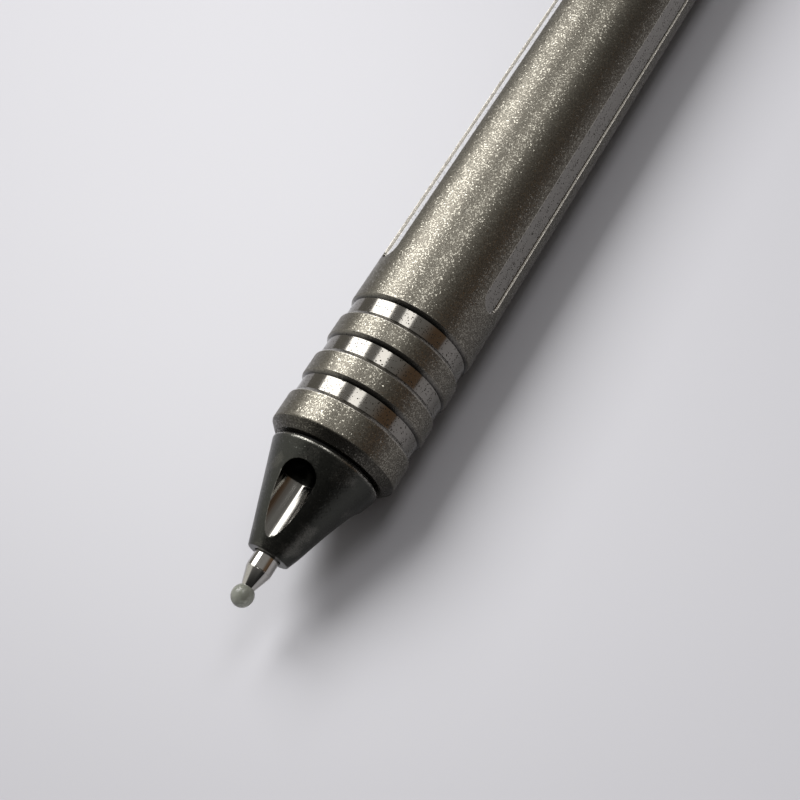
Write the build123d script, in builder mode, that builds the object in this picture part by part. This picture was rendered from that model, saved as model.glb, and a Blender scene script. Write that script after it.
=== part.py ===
from build123d import *
from math import cos, pi, radians, sin, sqrt
import os

# A bolt-action metal pen that lies along X, with its writing point towards -X and its tail
# towards +X. The origin is on the axis, in the middle of the smooth land in front of the grip
# grooves. Clock angles turn about +X, from 0 at +Z, and positive ones go towards -Y.
# All sizes are in millimetres.

# Barrel
barrel_radius = 6.35
front_chamfer = 0.85
front_land_length = 3.5
groove_count = 3
groove_width = 2.4
groove_depth = 0.3
groove_wall = 0.42
ridge_width = 2.0
grip_land_length = 4.55
refill_bore_radius = 3.35
carrier_bore_radius = 4.0
rear_chamfer = 0.6
nose_socket_radius = 4.05
cap_socket_radius = 4.65
socket_spare = 0.4

# Polished recesses along the barrel
recess_width = 2.48
recess_depth = 0.29
recess_count = 3
recess_clock = 81.5
recess_to_slot = 10.8

# Nose cone
nose_length = 9.4
nose_front_radius = 2.0
nose_base_radius = 5.42
nose_front_edge = 0.2
nose_base_edge = 0.35
nose_stub_length = 7.0
point_bore_length = 4.9
spring_seat_depth = 9.0
spring_cavity_radius = 3.2
throat_radius = 1.95
pocket_count = 3
pocket_clock = 11.0
pocket_ball_radius = 1.7
pocket_centre_radius = 4.08
pocket_ball_depth = 6.35

# Seals between the barrel and its two ends
seal_thickness = 0.55
seal_height = 0.8

# Refill
refill_length = 110.5
point_reach = 4.22
point_radius = 1.2
point_cone_length = 2.25
point_lip_radius = 0.4
point_shank_radius = 0.95
point_shank_length = 4.0
point_throat_radius = 0.35
ball_radius = 0.35
ball_proud = 0.47
wax_radius = 1.03
wax_length_share = 1.03
wax_setback = 0.08
wax_facets = 6
refill_nose_radius = 1.8
refill_nose_front = 5.2
refill_nose_length = 16.1
flange_thickness = 1.0
spigot_length = 5.5
ink_channel_radius = 0.6
tube_radius = 3.05
tube_wall = 0.55
air_length = 12.0
follower_length = 7.0
plug_flange = 1.2
plug_length = 5.0
vent_radius = 0.5

# Return spring
spring_mean_radius = 2.45
spring_wire_radius = 0.2
spring_wire_sides = 5
spring_half_turns = 14
spring_end_half_turns = 2
spring_end_pitch_length = 0.86

# Bolt and its carrier
travel = 6.0
lock_angle = 35.0
stem_radius = 1.6
stem_setback = 3.2
stem_thread_radius = 1.45
stem_thread_length = 3.6
carrier_tail = 4.0
cup_depth = 6.8
cup_radius = 3.15
pad_thickness = 1.0
pad_pin_radius = 1.0
pad_pin_length = 1.2
carrier_seal_width = 0.9
carrier_seal_height = 0.72
carrier_seal_setback = 0.75
knob_lift = 0.4
knob_height = 3.6
knob_radius = 3.0
knob_foot_radius = 2.5
knob_foot_height = 0.7
knob_waist_radius = 2.05
knob_rim_height = 1.3
knob_bevel = 0.4

# Tail cap and strike tip
cap_stub_length = 6.6
cap_stub_bore = 2.6
cap_length = 9.2
cap_land_length = 2.2
cap_rear_radius = 3.4
cap_edge = 0.3
cap_pocket_clock = 71.0
cap_pocket_radius = 1.8
cap_pocket_centre_radius = 5.5
cap_pocket_length = 5.1
strike_shank_radius = 1.6
strike_shank_length = 4.5
strike_collar_radius = 2.4
strike_collar_length = 0.8
strike_cone_length = 2.0
strike_nose_radius = 0.5

# Pocket clip
clip_clock = -121.5
clip_length = 40.0
clip_width = 4.0
clip_stand_height = 2.5
clip_arm_thickness = 1.3
clip_pad_length = 9.0
clip_pad_depth = 0.4
clip_rear_distance = 7.4
clip_tip_thickness = 1.0
clip_tip_length = 3.2
clip_heel_length = 2.4
clip_end_radius = 1.0
clip_tip_radius = 0.45
clip_contact_radius = 1.2
clip_root_radius = 0.5
clip_edge_chamfer = 0.3
screw_count = 2
screw_spacing = 4.6
screw_radius = 0.8
screw_skin_thickness = 0.35
screw_head_radius = 1.4
screw_head_height = 0.9
screw_head_sink = 1.2
screw_hex_radius = 0.6
screw_hex_depth = 0.5

# Fits and clearances
carrier_fit = 0.05
slot_fit = 0.08
point_fit = 0.08
thread_fit = 0.05
seat_gap = 0.02
clip_seat_gap = 0.05
clip_touch_gap = 0.05
stop_gap = 0.9
pad_gap = 0.05
overrun = 1.0

# Places along the axis that the pieces share
grooves_length = groove_count * groove_width + (groove_count - 1) * ridge_width
grooves_front = (front_land_length - front_chamfer) / 2
barrel_front = grooves_front - front_land_length
nose_rear = barrel_front - seal_thickness
nose_front = nose_rear - nose_length
stub_end = nose_rear + nose_stub_length
spring_seat = nose_front + spring_seat_depth

ball_front = nose_front - point_reach
ball_centre = ball_front + ball_radius
lip = ball_front + ball_proud
shoulder = lip + point_cone_length
refill_nose_start = nose_front + refill_nose_front
flange_front = refill_nose_start + refill_nose_length
tube_start = flange_front + flange_thickness
refill_end = ball_front + refill_length
tube_end = refill_end - plug_flange

cup_floor = refill_end + pad_gap + pad_thickness
carrier_front = cup_floor - cup_depth
stem_place = cup_floor + stem_setback
carrier_rear = stem_place + carrier_tail
carrier_radius = carrier_bore_radius - carrier_fit
carrier_bore_front = carrier_front - socket_spare - carrier_fit
carrier_seal_place = carrier_front + carrier_seal_setback

cap_stub_front = carrier_rear + travel + stop_gap
barrel_rear = cap_stub_front + cap_stub_length
cap_front = barrel_rear + seal_thickness
cap_rear = cap_front + cap_length

slot_width = 2 * (stem_radius + slot_fit)
slot_front = stem_place - slot_width / 2
recess_front = grooves_front + grooves_length + grip_land_length
recess_rear = slot_front - recess_to_slot
clip_rear = barrel_rear - clip_rear_distance
clip_front = clip_rear - clip_length
clip_outer = barrel_radius + clip_stand_height
clip_seat_radius = barrel_radius - clip_pad_depth
screw_foot = carrier_bore_radius + screw_skin_thickness
tube_bore_radius = tube_radius - tube_wall
screw_places = [
    clip_rear - clip_pad_length / 2 + screw_spacing * (i - (screw_count - 1) / 2)
    for i in range(screw_count)
]

axis_line = Axis((0, 0, 0), (1, 0, 0))


def clock_plane(place, clock):
    """A plane square to the axis's radius at a clock angle, with its X along the pen."""
    turn = radians(clock)
    return Plane(origin=(place, 0, 0), x_dir=(1, 0, 0), z_dir=(0, -sin(turn), cos(turn)))


def side_plane(clock):
    """The plane through the axis at a clock angle: X along the pen and Y outwards."""
    turn = radians(clock)
    return Plane(origin=(0, 0, 0), x_dir=(1, 0, 0), z_dir=(0, -cos(turn), -sin(turn)))


def cross_plane(place):
    """The plane across the pen at a place: its X is +Y and its Y is +Z."""
    return Plane.YZ.offset(place)


# Barrel: one turned tube with grip grooves, recesses, a bolt slot and a clip seat
outline = [(barrel_front, barrel_radius - front_chamfer)]
outline.append((barrel_front + front_chamfer, barrel_radius))
for i in range(groove_count):
    start = grooves_front + i * (groove_width + ridge_width)
    outline.append((start, barrel_radius))
    outline.append((start + groove_wall, barrel_radius - groove_depth))
    outline.append((start + groove_width - groove_wall, barrel_radius - groove_depth))
    outline.append((start + groove_width, barrel_radius))
outline.append((barrel_rear - rear_chamfer, barrel_radius))
outline.append((barrel_rear, barrel_radius - rear_chamfer))
outline.append((barrel_rear, cap_socket_radius))
outline.append((cap_stub_front - socket_spare, cap_socket_radius))
outline.append((cap_stub_front - socket_spare, carrier_bore_radius))
outline.append((carrier_bore_front, carrier_bore_radius))
outline.append((carrier_bore_front, refill_bore_radius))
outline.append((stub_end + socket_spare, refill_bore_radius))
outline.append((stub_end + socket_spare, nose_socket_radius))
outline.append((barrel_front, nose_socket_radius))

with BuildPart() as barrel:
    with BuildSketch(Plane.XZ):
        with BuildLine():
            Polyline(*outline, close=True)
        make_face()
    revolve(axis=axis_line)
    for clock in [recess_clock + 360 * i / recess_count for i in range(recess_count)]:
        middle = (recess_front + recess_rear) / 2
        with BuildSketch(clock_plane(middle, clock).offset(barrel_radius - recess_depth)):
            SlotOverall(recess_rear - recess_front, recess_width)
        extrude(amount=recess_depth + overrun, mode=Mode.SUBTRACT)
    for place in (stem_place, stem_place + travel):
        with BuildSketch(Plane.XZ):
            with Locations((place, barrel_radius)):
                Rectangle(slot_width, 2 * (barrel_radius - tube_radius))
        revolve(axis=axis_line, revolution_arc=lock_angle, mode=Mode.SUBTRACT)
        for clock in (0, lock_angle):
            with BuildSketch(clock_plane(place, clock)):
                Circle(slot_width / 2)
            extrude(amount=barrel_radius + overrun, mode=Mode.SUBTRACT)
    with BuildSketch(clock_plane(stem_place + travel / 2, 0)):
        Rectangle(travel, slot_width)
    extrude(amount=barrel_radius + overrun, mode=Mode.SUBTRACT)
    with BuildSketch(clock_plane(clip_rear - clip_pad_length / 2, clip_clock).offset(clip_seat_radius)):
        Rectangle(clip_pad_length + 2 * clip_seat_gap, clip_width + 2 * clip_seat_gap)
    extrude(amount=clip_pad_depth + overrun, mode=Mode.SUBTRACT)
    for place in screw_places:
        with BuildSketch(clock_plane(place, clip_clock).offset(screw_foot - seat_gap)):
            Circle(screw_radius + seat_gap)
        extrude(amount=clip_seat_radius - screw_foot + overrun, mode=Mode.SUBTRACT)
barrel.part.label = "barrel"

# Nose cone: a threaded stub and a cone with three ball-ended milled pockets
with BuildPart() as nose_cone:
    with BuildSketch(Plane.XZ) as cone_face:
        with BuildLine():
            Polyline(
                (nose_front, point_radius + point_fit),
                (nose_front, nose_front_radius),
                (nose_rear, nose_base_radius),
                (nose_rear, nose_socket_radius - thread_fit),
                (stub_end, nose_socket_radius - thread_fit),
                (stub_end, spring_cavity_radius),
                (spring_seat, spring_cavity_radius),
                (spring_seat, throat_radius),
                (nose_front + point_bore_length, throat_radius),
                (nose_front + point_bore_length, point_radius + point_fit),
                close=True,
            )
        make_face()
        chamfer(cone_face.vertices().group_by(Axis.Y)[-1], nose_base_edge)
        rim = cone_face.vertices().group_by(Axis.X)[0].sort_by(Axis.Y)[-1]
        chamfer(rim, nose_front_edge)
    revolve(axis=axis_line)
    with BuildSketch(cross_plane(nose_front - overrun)):
        with PolarLocations(pocket_centre_radius, pocket_count, start_angle=90 + pocket_clock):
            Circle(pocket_ball_radius)
    extrude(amount=pocket_ball_depth + overrun, mode=Mode.SUBTRACT)
    with Locations(cross_plane(nose_front + pocket_ball_depth)):
        with PolarLocations(pocket_centre_radius, pocket_count, start_angle=90 + pocket_clock):
            Sphere(pocket_ball_radius, mode=Mode.SUBTRACT)
nose_cone.part.label = "nose_cone"

# Nose seal: the rubber ring in the gap behind the cone
with BuildPart() as nose_seal:
    with BuildSketch(cross_plane(nose_rear)):
        Circle(nose_socket_radius + seal_height)
        Circle(nose_socket_radius, mode=Mode.SUBTRACT)
    extrude(amount=seal_thickness)
nose_seal.part.label = "nose_seal"

# Refill point: a turned cylinder and cone that holds the ball
with BuildPart() as refill_point:
    with BuildSketch(Plane.XZ):
        with BuildLine():
            Polyline(
                (lip, 0),
                (lip, point_lip_radius),
                (shoulder, point_radius),
                (refill_nose_start, point_radius),
                (refill_nose_start, point_shank_radius),
                (refill_nose_start + point_shank_length, point_shank_radius),
                (refill_nose_start + point_shank_length, point_throat_radius),
                (shoulder, point_throat_radius),
                (shoulder, 0),
                close=True,
            )
        make_face()
    revolve(axis=axis_line)
    with Locations((ball_centre, 0, 0)):
        Sphere(ball_radius + seat_gap, rotation=(0, 90, 0), mode=Mode.SUBTRACT)
refill_point.part.label = "refill_point"

# Writing ball
with BuildPart() as writing_ball:
    with Locations((ball_centre, 0, 0)):
        Sphere(ball_radius)
writing_ball.part.label = "writing_ball"

# Wax bead: the dipped drop that keeps a new point from drying
with BuildPart() as wax_bead:
    half_length = wax_radius * wax_length_share
    middle = ball_centre - wax_setback
    wax_turns = [pi * i / wax_facets for i in range(wax_facets + 1)]
    with BuildSketch(Plane.XZ):
        with BuildLine():
            Polyline(
                *[(middle - half_length * cos(turn), wax_radius * sin(turn)) for turn in wax_turns],
                close=True,
            )
        make_face()
    revolve(axis=axis_line)
    cone_slope = (point_radius - point_lip_radius) / point_cone_length
    with BuildSketch(Plane.XZ):
        with BuildLine():
            Polyline(
                (lip - seat_gap, 0),
                (lip - seat_gap, point_lip_radius + seat_gap),
                (lip + wax_radius + overrun, point_lip_radius + seat_gap + cone_slope * (wax_radius + overrun)),
                (lip + wax_radius + overrun, 0),
                close=True,
            )
        make_face()
    revolve(axis=axis_line, mode=Mode.SUBTRACT)
    with Locations((ball_centre, 0, 0)):
        Sphere(ball_radius + seat_gap, rotation=(0, 90, 0), mode=Mode.SUBTRACT)
wax_bead.part.label = "wax_bead"

# Refill nose: the moulded holder between the metal point and the ink tube
spigot_radius = tube_bore_radius - seat_gap
with BuildPart() as refill_nose:
    with BuildSketch(Plane.XZ):
        with BuildLine():
            Polyline(
                (refill_nose_start, point_shank_radius + seat_gap),
                (refill_nose_start, refill_nose_radius),
                (flange_front, refill_nose_radius),
                (flange_front, tube_radius),
                (tube_start, tube_radius),
                (tube_start, spigot_radius),
                (tube_start + spigot_length, spigot_radius),
                (tube_start + spigot_length, ink_channel_radius),
                (refill_nose_start + point_shank_length + seat_gap, ink_channel_radius),
                (refill_nose_start + point_shank_length + seat_gap, point_shank_radius + seat_gap),
                close=True,
            )
        make_face()
    revolve(axis=axis_line)
refill_nose.part.label = "refill_nose"

# Refill tube
with BuildPart() as refill_tube:
    with BuildSketch(Plane.XZ):
        with Locations(((tube_start + tube_end) / 2, tube_radius - tube_wall / 2)):
            Rectangle(tube_end - tube_start, tube_wall)
    revolve(axis=axis_line)
refill_tube.part.label = "refill_tube"

# Ink column and the grease follower behind it, with air up to the plug
ink_start = tube_start + spigot_length + seat_gap
follower_start = refill_end - plug_length - air_length - follower_length
with BuildPart() as ink_column:
    with BuildSketch(cross_plane(ink_start)):
        Circle(spigot_radius)
    extrude(amount=follower_start - seat_gap - ink_start)
ink_column.part.label = "ink_column"

with BuildPart() as ink_follower:
    with BuildSketch(cross_plane(follower_start)):
        Circle(spigot_radius)
    extrude(amount=follower_length)
ink_follower.part.label = "ink_follower"

# Refill plug: closes the tube's rear end and lets air in
with BuildPart() as refill_plug:
    with BuildSketch(Plane.XZ):
        with BuildLine():
            Polyline(
                (refill_end, vent_radius),
                (refill_end, tube_radius),
                (tube_end, tube_radius),
                (tube_end, spigot_radius),
                (refill_end - plug_length, spigot_radius),
                (refill_end - plug_length, vent_radius),
                close=True,
            )
        make_face()
    revolve(axis=axis_line)
refill_plug.part.label = "refill_plug"

# Return spring: one unbroken five-sided wire on pairs of tangent arcs, closed at both ends
spring_front = spring_seat + spring_wire_radius + seat_gap
spring_rear = flange_front - spring_wire_radius - seat_gap
end_turns = spring_end_half_turns / 2
middle_turns = spring_half_turns / 2 - 2 * end_turns
middle_rise = spring_rear - spring_front - 2 * end_turns * spring_end_pitch_length
middle_pitch = middle_rise / middle_turns


def spring_rise(turns):
    """How far along the axis the wire is after a number of turns."""
    if turns <= end_turns:
        return turns * spring_end_pitch_length
    if turns <= end_turns + middle_turns:
        return end_turns * spring_end_pitch_length + (turns - end_turns) * middle_pitch
    last = turns - end_turns - middle_turns
    return end_turns * spring_end_pitch_length + middle_rise + last * spring_end_pitch_length


def spring_point(turns):
    """The wire's centre after a number of turns."""
    turn = 2 * pi * turns
    place = spring_front + spring_rise(turns)
    return Vector(place, spring_mean_radius * cos(turn), spring_mean_radius * sin(turn))


def spring_heading(turns):
    """The wire's direction there, with the rise averaged over a quarter turn each side."""
    last_turn = spring_half_turns / 2
    before = max(turns - 1 / 4, 0)
    after = min(turns + 1 / 4, last_turn)
    rise = (spring_rise(after) - spring_rise(before)) / (after - before)
    turn = 2 * pi * turns
    around = 2 * pi * spring_mean_radius
    return Vector(rise, -around * sin(turn), around * cos(turn)).normalized()


def biarc_joint(start, heading, end, last_heading):
    """The point where two tangent arcs meet, and the direction there."""
    chord = end - start
    both = heading + last_heading
    a = 2 * (1 - heading.dot(last_heading))
    b = 2 * chord.dot(both)
    c = -chord.dot(chord)
    reach = (-b + sqrt(b * b - 4 * a * c)) / (2 * a)
    near = start + heading * reach
    far = end - last_heading * reach
    return (near + far) * (1 / 2), (far - near).normalized()


with BuildPart() as return_spring:
    with BuildLine() as wire_path:
        for i in range(spring_half_turns):
            head, tail = i / 2, (i + 1) / 2
            start, end = spring_point(head), spring_point(tail)
            joint, heading = biarc_joint(start, spring_heading(head), end, spring_heading(tail))
            TangentArc(start, joint, tangent=spring_heading(head))
            TangentArc(joint, end, tangent=heading)
    with BuildSketch(Plane(origin=spring_point(0), z_dir=spring_heading(0))):
        RegularPolygon(spring_wire_radius, spring_wire_sides)
    sweep(path=wire_path.line)
return_spring.part.label = "return_spring"

# Bolt carrier: the plunger whose cup holds the refill's rear end
seal_groove_radius = carrier_bore_radius - carrier_fit - carrier_seal_height
carrier_seal_end = carrier_seal_place + carrier_seal_width
with BuildPart() as bolt_carrier:
    with BuildSketch(Plane.XZ):
        with BuildLine():
            Polyline(
                (carrier_front, cup_radius),
                (carrier_front, carrier_radius),
                (carrier_seal_place - seat_gap, carrier_radius),
                (carrier_seal_place - seat_gap, seal_groove_radius),
                (carrier_seal_end + seat_gap, seal_groove_radius),
                (carrier_seal_end + seat_gap, carrier_radius),
                (carrier_rear, carrier_radius),
                (carrier_rear, 0),
                (cup_floor + pad_pin_length, 0),
                (cup_floor + pad_pin_length, pad_pin_radius + seat_gap),
                (cup_floor, pad_pin_radius + seat_gap),
                (cup_floor, cup_radius),
                close=True,
            )
        make_face()
    revolve(axis=axis_line)
    chamfer(bolt_carrier.edges().filter_by(GeomType.CIRCLE).group_by(Axis.X)[-1], rear_chamfer)
    with BuildSketch(clock_plane(stem_place, 0).offset(carrier_radius - stem_thread_length)):
        Circle(stem_thread_radius + seat_gap)
    extrude(amount=stem_thread_length + overrun, mode=Mode.SUBTRACT)
bolt_carrier.part.label = "bolt_carrier"

# Carrier seal: the ring that damps the carrier in its bore
with BuildPart() as carrier_seal:
    with BuildSketch(cross_plane(carrier_seal_place)):
        Circle(carrier_bore_radius - carrier_fit / 2)
        Circle(seal_groove_radius, mode=Mode.SUBTRACT)
    extrude(amount=carrier_seal_width)
carrier_seal.part.label = "carrier_seal"

# Carrier pad: takes the rattle out between the carrier and the refill
with BuildPart() as carrier_pad:
    with BuildSketch(cross_plane(cup_floor - pad_thickness)):
        Circle(cup_radius - seat_gap)
    extrude(amount=pad_thickness)
    with BuildSketch(cross_plane(cup_floor)):
        Circle(pad_pin_radius)
    extrude(amount=pad_pin_length - seat_gap)
carrier_pad.part.label = "carrier_pad"

# Bolt knob: a turned spool on a stem that screws into the carrier
knob_bottom = barrel_radius + knob_lift
knob_top = knob_bottom + knob_height
stem_foot = carrier_radius - stem_thread_length + seat_gap
waist_height = (knob_bottom + knob_foot_height + knob_top - knob_rim_height) / 2
with BuildPart() as bolt_knob:
    with BuildSketch(Plane.XZ):
        with BuildLine():
            Polyline(
                (stem_place, knob_top),
                (stem_place, stem_foot),
                (stem_place + stem_thread_radius, stem_foot),
                (stem_place + stem_thread_radius, carrier_radius),
                (stem_place + stem_radius, carrier_radius),
                (stem_place + stem_radius, knob_bottom),
                (stem_place + knob_foot_radius, knob_bottom),
                (stem_place + knob_foot_radius, knob_bottom + knob_foot_height),
                (stem_place + knob_waist_radius, waist_height),
                (stem_place + knob_radius, knob_top - knob_rim_height),
                (stem_place + knob_radius, knob_top - knob_bevel),
                (stem_place + knob_radius - knob_bevel, knob_top),
                close=True,
            )
        make_face()
    revolve(axis=Axis((stem_place, 0, 0), (0, 0, 1)))
bolt_knob.part.label = "bolt_knob"

# Tail cap: a threaded plug with a tapered, scalloped end
with BuildPart() as tail_cap:
    with BuildSketch(Plane.XZ) as cap_face:
        with BuildLine():
            Polyline(
                (cap_stub_front, cap_stub_bore),
                (cap_stub_front, cap_socket_radius - thread_fit),
                (cap_front, cap_socket_radius - thread_fit),
                (cap_front, barrel_radius - rear_chamfer),
                (cap_front + rear_chamfer, barrel_radius),
                (cap_front + cap_land_length, barrel_radius),
                (cap_rear, cap_rear_radius),
                (cap_rear, strike_shank_radius + seat_gap),
                (cap_rear - strike_shank_length - seat_gap, strike_shank_radius + seat_gap),
                (cap_rear - strike_shank_length - seat_gap, 0),
                (cap_front, 0),
                (cap_front, cap_stub_bore),
                close=True,
            )
        make_face()
        chamfer(cap_face.vertices().group_by(Axis.X)[-1].sort_by(Axis.Y)[-1], cap_edge)
    revolve(axis=axis_line)
    with BuildSketch(cross_plane(cap_rear + overrun)):
        with PolarLocations(cap_pocket_centre_radius, pocket_count, start_angle=90 + cap_pocket_clock):
            Circle(cap_pocket_radius)
    extrude(amount=-cap_pocket_length - overrun, mode=Mode.SUBTRACT)
tail_cap.part.label = "tail_cap"

# Tail seal
with BuildPart() as tail_seal:
    with BuildSketch(cross_plane(barrel_rear)):
        Circle(cap_socket_radius + seal_height)
        Circle(cap_socket_radius, mode=Mode.SUBTRACT)
    extrude(amount=seal_thickness)
tail_seal.part.label = "tail_seal"

# Strike tip: the hard pressed-in point at the tail
collar_end = cap_rear + strike_collar_length
with BuildPart() as strike_tip:
    with BuildSketch(Plane.XZ):
        with BuildLine():
            Polyline(
                (cap_rear - strike_shank_length, 0),
                (cap_rear - strike_shank_length, strike_shank_radius),
                (cap_rear, strike_shank_radius),
                (cap_rear, strike_collar_radius),
                (collar_end, strike_collar_radius),
                (collar_end + strike_cone_length, strike_nose_radius),
                (collar_end + strike_cone_length, 0),
                close=True,
            )
        make_face()
    revolve(axis=axis_line)
strike_tip.part.label = "strike_tip"

# Pocket clip: a milled bar with a pad, a raised arm and a rounded contact near its tip
arm_under = clip_outer - clip_arm_thickness
pad_front = clip_rear - clip_pad_length
pad_foot = clip_seat_radius + seat_gap
contact = barrel_radius + clip_touch_gap
heel = clip_front + clip_tip_length
head_seat = clip_outer - screw_head_sink
clip_corners = [
    ((clip_rear, pad_foot), 0),
    ((clip_rear, clip_outer), clip_end_radius),
    ((clip_front, clip_outer), clip_tip_radius),
    ((clip_front, clip_outer - clip_tip_thickness), clip_tip_radius),
    ((heel, contact), clip_contact_radius),
    ((heel + clip_heel_length, arm_under), clip_end_radius),
    ((pad_front, arm_under), clip_root_radius),
    ((pad_front, pad_foot), 0),
]
with BuildPart() as pocket_clip:
    with BuildSketch(side_plane(clip_clock)):
        with BuildLine():
            FilletPolyline(
                *[point for point, corner in clip_corners],
                radius=[corner for point, corner in clip_corners],
                close=True,
            )
        make_face()
    extrude(amount=clip_width / 2, both=True)
    outwards = Axis((0, 0, 0), clock_plane(0, clip_clock).z_dir)
    outer_face = pocket_clip.faces().filter_by(GeomType.PLANE).sort_by(outwards)[-1]
    chamfer(outer_face.edges().filter_by(Axis.X), clip_edge_chamfer)
    for place in screw_places:
        with BuildSketch(clock_plane(place, clip_clock).offset(clip_seat_radius)):
            Circle(screw_radius + clip_seat_gap)
        extrude(amount=clip_outer, mode=Mode.SUBTRACT)
        with BuildSketch(clock_plane(place, clip_clock).offset(head_seat)):
            Circle(screw_head_radius + clip_seat_gap)
        extrude(amount=clip_outer, mode=Mode.SUBTRACT)
pocket_clip.part.label = "pocket_clip"

# Clip screws
with BuildPart() as clip_screws:
    for place in screw_places:
        plane = clock_plane(place, clip_clock)
        with BuildSketch(plane.offset(screw_foot)):
            Circle(screw_radius)
        extrude(amount=head_seat - screw_foot)
        with BuildSketch(plane.offset(head_seat)):
            Circle(screw_head_radius)
        extrude(amount=screw_head_height)
        with BuildSketch(plane.offset(head_seat + screw_head_height - screw_hex_depth)):
            RegularPolygon(screw_hex_radius, 6)
        extrude(amount=screw_hex_depth + overrun, mode=Mode.SUBTRACT)
clip_screws.part.label = "clip_screws"

pieces = [
    barrel,
    nose_cone,
    nose_seal,
    return_spring,
    refill_point,
    writing_ball,
    wax_bead,
    refill_nose,
    refill_tube,
    ink_column,
    ink_follower,
    refill_plug,
    carrier_pad,
    bolt_carrier,
    carrier_seal,
    bolt_knob,
    pocket_clip,
    clip_screws,
    tail_cap,
    tail_seal,
    strike_tip,
]
os.makedirs("parts", exist_ok=True)
for piece in pieces:
    export_step(piece.part, f"parts/{piece.part.label}.step")

# The wire's least gap to itself, between turns that lie one turn apart
steps_per_turn = 24
samples = [i / steps_per_turn for i in range(steps_per_turn * spring_half_turns // 2 + 1)]
least_gap = min(
    (spring_point(a) - spring_point(b)).length - 2 * spring_wire_radius
    for a in samples
    for b in samples
    if b - a >= 1 / 2
)
print(f"return spring: {spring_half_turns / 2} turns, least gap to itself {least_gap:.2f} mm")
print(f"overall length {collar_end + strike_cone_length - ball_front:.2f} mm without the wax")
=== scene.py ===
"""Looks of a bolt-action metal pen that lies along X with its writing point towards -X.

Lengths in the dataclasses are in millimetres, as in the part's source, and meshes are in metres.
Clock angles turn about +X from +Z, and positive ones go towards -Y.
"""

import logging
from dataclasses import dataclass
from enum import Enum
from math import acos, asin, cos, pi, radians, sin, tan
from typing import Any, Callable, Sequence

import bmesh
import bpy
import numpy as np
from mathutils import Matrix, Vector


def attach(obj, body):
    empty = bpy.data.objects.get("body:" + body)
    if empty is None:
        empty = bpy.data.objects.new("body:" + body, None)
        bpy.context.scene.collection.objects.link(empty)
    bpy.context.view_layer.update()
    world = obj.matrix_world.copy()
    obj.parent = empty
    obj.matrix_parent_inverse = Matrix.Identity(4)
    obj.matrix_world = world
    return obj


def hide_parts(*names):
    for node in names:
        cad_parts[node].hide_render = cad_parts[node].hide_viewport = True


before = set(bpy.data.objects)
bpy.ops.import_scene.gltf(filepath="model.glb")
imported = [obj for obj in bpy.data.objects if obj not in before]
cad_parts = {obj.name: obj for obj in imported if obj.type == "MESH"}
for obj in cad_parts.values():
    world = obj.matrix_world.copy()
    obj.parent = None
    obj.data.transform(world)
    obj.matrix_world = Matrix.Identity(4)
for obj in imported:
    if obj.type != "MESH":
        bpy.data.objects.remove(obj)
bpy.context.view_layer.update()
MM = 0.001
DOUBLES_APART = 0.0005
NEAR = 0.01
ROD_SIDES = 48
LOG = logging.getLogger("pen")

Point = tuple[float, float]
Corner = tuple[float, float, float]
Array = np.ndarray
Item, Node, NodeTree, Socket = bpy.types.Object, bpy.types.Node, bpy.types.NodeTree, bpy.types.NodeSocket


class Body(Enum):
    """The bodies that pieces ride on."""

    BARREL = "barrel"
    REFILL = "refill"
    BOLT = "bolt"


class Slot(Enum):
    """Names of material slots, which place() is given for each built piece and does not use."""

    TITANIUM = "stonewashed_titanium"
    DARK = "dark_titanium"
    TURNED = "turned_titanium"
    NICKEL = "nickel_silver"
    CARBIDE = "carbide"
    RUBBER = "black_rubber"
    WAX = "wax"
    SPRING = "spring_steel"
    BLACK_STEEL = "black_steel"


# Node trees


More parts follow.
